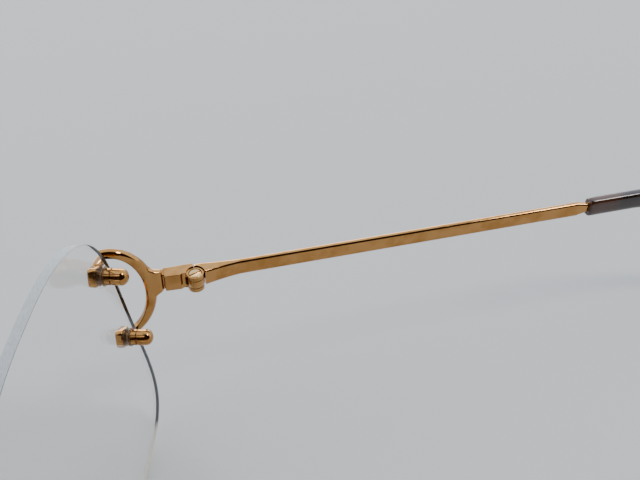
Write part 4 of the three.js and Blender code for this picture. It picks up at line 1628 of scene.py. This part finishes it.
@dataclass
class Temples:
    """The bars with their hinge pockets and middle barrels, and the plastic tips."""

    shop: Workshop
    hinges: Hinges
    length: float = 140
    height: float = 3.1
    thickness: float = 1.15
    outset: float = 2.5
    wedge_length: float = 8.6
    wedge_inset: float = 0.6
    drop: float = 0.3
    wedge_power: float = 1.4
    wedge_steps: int = 12
    bend_start: float = 91
    bend_radius: float = 22
    tip_angle: float = 40.58
    tip_start: float = 80
    tip_height_front: float = 3.9
    tip_height_end: float = 6
    tip_thickness: float = 2.4
    tip_tuck: float = 3
    tip_end: float = 3
    core_height: float = 1.9
    core_end_inside: float = 8
    core_taper: float = 2.5
    core_step: float = 0.1
    bar_ease: float = 0.48
    bar_runs: tuple[float, ...] = (20, 35, 50, 65)
    straight_core_run: float = 88
    bent_core_runs: tuple[float, ...] = (96, 101, 106.6, 118)
    tip_mouth: tuple[tuple[float, float], ...] = ((0, 0.8), (0.08, 0.9), (0.25, 0.97), (0.6, 1))
    tip_steps: int = 32
    tip_squareness: float = 3.2
    tip_thinning: float = 0.6
    tip_end_steps: int = 8
    tip_end_divisor: float = 8.6
    tip_end_power: float = 0.7
    pocket_clearance: float = 0.3

    def swell(self, along: float) -> float:
        """How much of the bar's swelling at the hinge is left at a distance from it."""
        return max(0.0, 1 - along / self.wedge_length) ** self.wedge_power

    def place(self, along: float) -> tuple[Vector, Vector]:
        """The middle of the bar at a distance from the hinge, and its up direction.

        Args:
            along: the distance, along the bar.

        Returns:
            The middle and the direction.
        """
        bend = math.radians(self.tip_angle)
        bent = min(max(along - self.bend_start, 0), self.bend_radius * bend)
        beyond = max(0, along - self.bend_start - self.bend_radius * bend)
        angle = bent / self.bend_radius
        y = min(along, self.bend_start) + self.bend_radius * math.sin(angle)
        y += beyond * math.cos(angle)
        z = self.bend_radius * (math.cos(angle) - 1) - beyond * math.sin(angle)
        swell = self.swell(along)
        z += self.hinges.leaf_rise * swell - self.drop * (1 - swell)
        run = max(0, along - self.bend_start) / (self.length - self.bend_start)
        x = self.outset - self.thickness / 2 - self.tip_tuck * run * run
        return Vector((x, y, z)), Vector((0, math.sin(angle), math.cos(angle)))

    def station(self, along: float, height: float) -> Station:
        """A section of the bar, which swells inwards towards the hinge.

        Args:
            along: its distance from the hinge.
            height: its height where nothing swells.

        Returns:
            The section.
        """
        middle, up = self.place(along)
        swell = self.swell(along)
        extra = (self.outset + self.wedge_inset - self.thickness) * swell
        height += (self.hinges.leaf_height - self.height) * swell
        return Station(middle - X * extra / 2, X, up, self.thickness + extra, height)

    def blank(self) -> bpy.types.Object:
        """The whole bar before the pocket is cut.

        Returns:
            The bar.
        """
        steps = self.wedge_steps
        runs = [self.wedge_length * step / steps for step in range(1, steps + 1)]
        runs.insert(0, self.hinges.butt_gap)
        runs += [*self.bar_runs, self.tip_start - self.core_taper]
        stations = [self.station(along, self.height) for along in runs]
        runs = [self.tip_start - self.core_step, self.straight_core_run, self.bend_start]
        for along in (*runs, *self.bent_core_runs, self.length - self.core_end_inside):
            stations.append(self.station(along, self.core_height))
        return drawn("temple_bar", stations)

    def bar(self) -> bpy.types.Object:
        """The bar with its hinge pocket.

        Returns:
            The bar.
        """
        bar = self.blank()
        half = self.hinges.height / 2 + 1
        pocket = self.hinges.barrel_radius + self.pocket_clearance
        ease(bar, self.bar_ease, 5)
        work_in(bar, rod("pocket", pocket, -half, half, Z, 64), Join.CUT)
        return bar

    def knuckle(self) -> bpy.types.Object:
        """The middle barrel, with its root soldered inside the bar.

        Returns:
            The barrel.
        """
        hinges = self.hinges
        half = hinges.knuckle_height / 2
        knuckle = rod("knuckle_barrel", hinges.barrel_radius, -half, half, Z, 64)
        high = (hinges.root_outer, hinges.root_length, half - hinges.root_step)
        root = block("root", (hinges.root_inner, 0, hinges.root_step - half), high)
        work_in(knuckle, root, Join.ADD)
        bore = rod("bore", hinges.screw_radius + hinges.gap, -half - 1, half + 1, Z)
        work_in(knuckle, bore, Join.CUT)
        ease(knuckle, hinges.knuckle_ease)
        return knuckle

    def tip(self) -> bpy.types.Object:
        """The plastic tip: a sleeve that widens to a rounded paddle.

        Returns:
            The tip.
        """
        end = self.length - self.tip_end
        stations = []

        def add(along: float, size: float) -> None:
            """Adds a section at a distance from the hinge, as a share of its full size."""
            middle, up = self.place(along)
            spread = min(max((along - self.bend_start) / (end - self.bend_start), 0), 1)
            height = self.tip_height_front
            height += (self.tip_height_end - self.tip_height_front) * spread
            thin = size**self.tip_thinning
            stations.append(Station(middle, X, up, self.tip_thickness * thin, height * size))

        for along, size in self.tip_mouth:
            add(self.tip_start + along, size)
        for step in range(1, self.tip_steps + 1):
            add(self.tip_start + (end - self.tip_start) * step / self.tip_steps, 1)
        for step in range(1, self.tip_end_steps + 1):
            angle = step / self.tip_end_divisor * QUARTER
            add(end + self.tip_end * math.sin(angle), math.cos(angle) ** self.tip_end_power)
        return drawn("temple_tip_sleeve", stations, oval(32, self.tip_squareness))

    def build(self) -> None:
        """Models and fits both temples."""
        hinge = self.shop.layout.hinge()
        self.shop.fit_pair(self.bar(), hinge, "temple", Carrier.TEMPLE, ("gold",))
        self.shop.fit_pair(self.knuckle(), hinge, "temple_knuckle", Carrier.TEMPLE, ("gold",))
        self.shop.fit_pair(self.tip(), hinge, "temple_tip", Carrier.TEMPLE, ("tip",), 60)


@dataclass
class Bridge:
    """The arched bar over the nose, with a small crescent and two pads at each end."""

    shop: Workshop
    mounts: LensMounts
    crescent_depth: float = 3.4
    strip_width: float = 1.35
    strip_thickness: float = 0.9
    bar_height: float = 2.3
    bar_thickness: float = 1.5
    arch_rise: float = 2.2
    arch_bow: float = 1.1
    bar_ease: float = 0.4
    strip_ease: float = 0.25
    path_steps: int = 40
    shoulder_shares: tuple[float, float, float] = (0.55, 0.7, 0.72)
    corner_shares: tuple[float, float, float] = (0.33, 0.5, 0.72)

    def root(self) -> Vector:
        """Where the bar meets the left crescent.

        Returns:
            The point.
        """
        places = self.shop.layout.mounts()
        upper = self.mounts.pad_middle(places["upper_nose"])
        lower = self.mounts.pad_middle(places["lower_nose"])
        return (upper + lower) / 2 - X * self.crescent_depth

    def bar_path(self, steps: int) -> list[tuple[Vector, Vector]]:
        """The middle line of the bar, from left to right.

        Args:
            steps: the number of its stretches.

        Returns:
            Pairs of place and direction.
        """
        root = self.root()

        def shoulder(side: int) -> Vector:
            """A point between the root and the top of the arch."""
            across, bow, rise = self.shoulder_shares
            y, z = root.y - self.arch_bow * bow, root.z + self.arch_rise * rise
            return Vector((side * root.x * across, y, z))

        top = Vector((0, root.y - self.arch_bow, root.z + self.arch_rise))
        far = Vector((-root.x, root.y, root.z))
        return smooth_path([root, shoulder(1), top, shoulder(-1), far], steps)

    def bar(self) -> bpy.types.Object:
        """The arched bar.

        Returns:
            The bar.
        """
        path = self.bar_path(self.path_steps)
        bar = strip_along(
            "bridge_bar", path, lambda _: -Y, lambda _: self.bar_height, self.bar_thickness
        )
        ease(bar, self.bar_ease, 4)
        return bar

    def crescent(self) -> bpy.types.Object:
        """The small crescent of the left end.

        Returns:
            The crescent.
        """
        places = self.shop.layout.mounts()
        ends = [self.mounts.pad_middle(places[n]) for n in ("upper_nose", "lower_nose")]
        root = self.root()

        def corner(end: Vector) -> Vector:
            """A point on the way from the root to a pad."""
            return root + Vector(a * b for a, b in zip(end - root, self.corner_shares))

        points = [ends[0], corner(ends[0]), root, corner(ends[1]), ends[1]]
        path = smooth_path(points, self.path_steps)
        strip = strip_along(
            "bridge_crescent", path, lambda _: -Y, lambda _: self.strip_width, self.strip_thickness
        )
        ease(strip, self.strip_ease, 3)
        return strip

    def build(self) -> None:
        """Models and fits the bridge."""
        fitted = [(self.bar(), Matrix.Identity(4))]
        for name in ("upper_nose", "lower_nose"):
            place = self.shop.layout.mounts()[name]
            fitted.append((self.mounts.pad(f"{name}_pad"), place))
        fitted.append((self.crescent(), Matrix.Identity(4)))
        for piece, place in fitted:
            seated(piece, self.shop.to_row @ place)
            if piece.name != "bridge_bar":
                twin = mirror_image(piece, f"right_{piece.name}")
                self.shop.fit(twin, ["bridge"], "front", ("gold",))
                piece.name = f"left_{piece.name}"
            self.shop.fit(piece, ["bridge"], "front", ("gold",))


@dataclass
class NosePads:
    """The wire arms with their boxes, and the silicone pads on their cores."""

    shop: Workshop
    bridge: Bridge
    wire_radius: float = 0.5
    wire_steps: int = 60
    search_steps: int = 200
    arm_root: float = 5.6
    foot_size: float = 1.7
    foot_depth: float = 0.7
    foot_sunk: float = 0.3
    foot_ease: float = 0.3
    wire_shares: tuple[tuple[float, float, float], ...] = (
        (0.02, 0.4, 0.02),
        (0.3, 0.86, 0.16),
        (0.8, 1.0, 0.52),
        (1.12, 0.98, 0.86),
    )
    pad_height: float = 13.6
    pad_width: float = 8
    pad_thickness: float = 2.4
    pad_widening: float = 0.16
    pad_back_power: float = 0.5
    pad_front_power: float = 0.8
    core_height: float = 8
    core_width: float = 4
    core_thickness: float = 0.5
    core_ease: float = 0.08
    lug_width: float = 1.1
    lug_radius: float = 0.8
    lug_reach: float = 1.7
    box_wall: float = 0.45
    box_height: float = 2.2
    box_gap: float = 0.1
    box_ease: float = 0.12
    screw_radius: float = 0.35
    head_radius: float = 0.7
    head_thickness: float = 0.35
    head_edge: float = 0.1
    slot_width: float = 0.22
    slot_depth: float = 0.16
    gap: float = 0.05

    def __post_init__(self) -> None:
        """Works out where the pad's screw is."""
        self.pivot = self.pad_thickness / 2 + self.lug_reach

    def pad(self) -> bpy.types.Object:
        """The silicone pad: an oval cushion, a little wider below, flatter at its back.

        Returns:
            The pad.
        """
        bpy.ops.mesh.primitive_uv_sphere_add(segments=48, ring_count=24, radius=1)
        piece = named("nose_pad_cushion")
        with shaping(piece) as mesh:
            for vert in mesh.verts:
                x, y, z = vert.co
                y *= 1 - self.pad_widening * z
                flat = self.pad_back_power if x > 0 else self.pad_front_power
                x = math.copysign(abs(x) ** flat, x)
                vert.co = (
                    x * self.pad_thickness / 2,
                    y * self.pad_width / 2,
                    z * self.pad_height / 2,
                )
        face_outwards(piece)
        return piece

    def core(self) -> bpy.types.Object:
        """The core: a plate in the pad, and a lug with an eye.

        Returns:
            The core.
        """
        thick, wide, high = self.core_thickness / 2, self.core_width / 2, self.core_height / 2
        core = block("nose_pad_plate", (-thick, -wide, -high), (thick, wide, high))
        half, radius = self.lug_width / 2, self.lug_radius
        work_in(core, block("stem", (0, -half, -radius), (self.pivot, half, radius)), Join.ADD)
        eye = rod("eye", radius, -half, half, Y)
        seated(eye, Matrix.Translation((self.pivot, 0, 0)))
        work_in(core, eye, Join.ADD)
        hole = rod("hole", self.screw_radius + self.gap, -half - 1, half + 1, Y, 24)
        seated(hole, Matrix.Translation((self.pivot, 0, 0)))
        work_in(core, hole, Join.CUT)
        ease(core, self.core_ease)
        return core

    def screw(self) -> bpy.types.Object:
        """The small slotted screw of the box.

        Returns:
            The screw.
        """
        half = self.lug_width / 2 + self.box_gap + self.box_wall
        head = -half - self.gap
        face = head - self.head_thickness
        edge = self.head_edge
        profile = [(0.0, face), (self.head_radius - edge, face), (self.head_radius, face + edge)]
        profile += [(self.head_radius, head), (self.screw_radius, head)]
        profile += [(self.screw_radius, half), (0.0, half)]
        screw = turned("nose_pad_screw_turned", profile, 32)
        reach, half = self.head_radius + 1, self.slot_width / 2
        slot = block("slot", (-reach, face - 1, -half), (reach, face + self.slot_depth, half))
        work_in(screw, slot, Join.CUT)
        seated(screw, Matrix.Translation((self.pivot, 0, 0)))
        return screw

    def box(self) -> bpy.types.Object:
        """The box that holds the lug: a U, open towards the pad.

        Returns:
            The box.
        """
        width = self.lug_width / 2 + self.box_gap
        floor = self.pivot + self.lug_radius + self.box_gap
        mouth = self.pivot - self.lug_radius
        wall, half = self.box_wall, self.box_height / 2
        low = (mouth, -width - wall, -half)
        box = block("nose_pad_box", low, (floor + wall, width + wall, half))
        work_in(box, block("inner", (mouth - 1, -width, -3), (floor, width, 3)), Join.CUT)
        hole = rod("hole", self.screw_radius + self.gap, -3, 3, Y, 24)
        seated(hole, Matrix.Translation((self.pivot, 0, 0)))
        work_in(box, hole, Join.CUT)
        ease(box, self.box_ease)
        return box

    def wire(self) -> tuple[bpy.types.Object, bpy.types.Object]:
        """The bent wire and its soldered foot.

        Returns:
            The foot and the wire.
        """
        path = self.bridge.bar_path(self.search_steps)
        bar = min((place for place, _ in path), key=lambda place: abs(place.x - self.arm_root))
        back = bar.y + self.bridge.bar_thickness / 2
        half = self.foot_size / 2
        low = (bar.x - half, bar.y + self.foot_sunk, bar.z - half)
        foot = block("nose_arm_foot", low, (bar.x + half, back + self.foot_depth, bar.z + half))
        ease(foot, self.foot_ease, 3)
        floor = self.pivot + self.lug_radius + self.box_gap + self.box_wall / 2
        end = self.shop.layout.nose_pad() @ Vector((floor, 0, 0))
        start = Vector((bar.x, back + self.foot_depth / 2, bar.z))
        way = end - start
        bends = [start + Vector(a * b for a, b in zip(way, share)) for share in self.wire_shares]
        width = 2 * self.wire_radius
        wire = strip_along(
            "nose_arm_wire",
            smooth_path([start, *bends, end], self.wire_steps),
            lambda _: X,
            lambda _: width,
            width,
            oval(16),
        )
        return foot, wire

    def build(self) -> None:
        """Models and fits both nose pads and their arms."""
        pad = self.shop.layout.nose_pad()
        foot, wire = self.wire()
        for piece in (foot, wire):
            self.shop.fit_pair(
                piece, Matrix.Identity(4), "nose_pad_arm", Carrier.FRONT, ("gold",), 50
            )
        self.shop.fit_pair(self.box(), pad, "nose_pad_arm", Carrier.FRONT, ("gold",))
        self.shop.fit_pair(self.pad(), pad, "nose_pad", Carrier.NOSE_PAD, ("silicone",), 60)
        self.shop.fit_pair(self.core(), pad, "nose_pad_core", Carrier.NOSE_PAD, ("gold",))
        self.shop.fit_pair(self.screw(), pad, "nose_pad_screw", Carrier.FRONT, ("screw",))


@dataclass
class Studio:
    """The pale floor, the soft lights and the camera."""

    floor_size: float = 6
    camera_place: tuple[float, float, float] = (0.03386, -0.05256, 0.11967)
    camera_right: tuple[float, float, float] = (0.2134, 0.9763, 0.029)
    camera_up: tuple[float, float, float] = (-0.6346, 0.116, 0.764)
    focal_length: float = 42.19
    sensor_width: float = 36
    clip: tuple[float, float] = (0.005, 50)
    shade_side: tuple[float, float, float] = (0.896, 0.156, 0.417)
    shade_edge: tuple[float, float] = (0.36, 0.52)
    glow_side: tuple[float, float, float] = (-0.978, 0.148, 0.148)
    glow_edge: tuple[float, float] = (0.88, 0.98)
    pale: Colour = (0.86, 0.97, 1.14)
    bright: Colour = (4.2, 4.1, 3.9)
    shaded: Colour = (0.02, 0.012, 0.01)
    strength: float = 1.7
    lights: list[tuple[str, tuple[float, float, float], float, float]] = field(
        default_factory=lambda: [
            ("ceiling", (0.1, 0.75, 1.1), 0.35, 8.0),
            ("window", (-1.6, -0.9, 0.5), 0.8, 16.0),
        ]
    )

    def floor(self) -> None:
        """A wide sheet of pale paper."""
        bpy.ops.object.select_all(action="DESELECT")
        bpy.ops.mesh.primitive_plane_add(size=self.floor_size)
        floor = named("floor")
        floor.data.materials.append(FloorPaper().material())

    def camera(self) -> None:
        """A camera at the photograph's angle."""
        data = bpy.data.cameras.new("camera")
        data.lens = self.focal_length
        data.sensor_width = self.sensor_width
        data.clip_start, data.clip_end = self.clip
        camera = bpy.data.objects.new("camera", data)
        bpy.context.scene.collection.objects.link(camera)
        right, up = Vector(self.camera_right).normalized(), Vector(self.camera_up)
        back = right.cross(up).normalized()
        up = back.cross(right)
        turn = Matrix((right, up, back)).transposed().to_4x4()
        camera.matrix_world = Matrix.Translation(self.camera_place) @ turn
        bpy.context.scene.camera = camera

    def light(self) -> None:
        """Large soft lights."""
        for name, place, size, power in self.lights:
            data = bpy.data.lights.new(name, "AREA")
            data.shape = "DISK"
            data.size = size
            data.energy = power
            lamp = bpy.data.objects.new(name, data)
            bpy.context.scene.collection.objects.link(lamp)
            lamp.location = place
            lamp.rotation_mode = "QUATERNION"
            lamp.rotation_quaternion = (-Vector(place)).to_track_quat("-Z", "Y")

    def surround(self) -> None:
        """A pale surround, brighter at the far side, with the shade of the one with the camera."""
        palette = Palette(bpy.data.worlds.new("surround"))
        glow = palette.along(self.glow_side).between(*self.glow_edge)
        shade = palette.along(self.shade_side).between(*self.shade_edge)
        colour = palette.blend(shade, palette.blend(glow, self.pale, self.bright), self.shaded)
        background = palette.node(
            "ShaderNodeBackground", None, {"Color": colour, "Strength": self.strength}
        )
        bpy.context.scene.world = palette.ended(background)

    def build(self) -> None:
        """Sets up the floor, the lights and the camera."""
        self.floor()
        self.light()
        self.surround()
        self.camera()


def main() -> None:
    """Builds the frame and its studio, one sub-assembly after another."""
    logging.basicConfig(level=logging.INFO, format="%(message)s")
    shop = Workshop(Layout(), Finishes())
    mounts = LensMounts(shop)
    hinges = Hinges(shop)
    bridge = Bridge(shop, mounts)
    assemblies = (
        Lenses(shop),
        mounts,
        EndBrackets(shop, mounts, hinges),
        hinges,
        Temples(shop, hinges),
        bridge,
        NosePads(shop, bridge),
        Studio(),
    )
    for assembly in assemblies:
        before = set(bpy.data.objects)
        assembly.build()
        made = sorted(o.name for o in set(bpy.data.objects) - before)
        LOG.info("%s: %s", type(assembly).__name__, ", ".join(made))


if __name__ == "__main__":
    main()
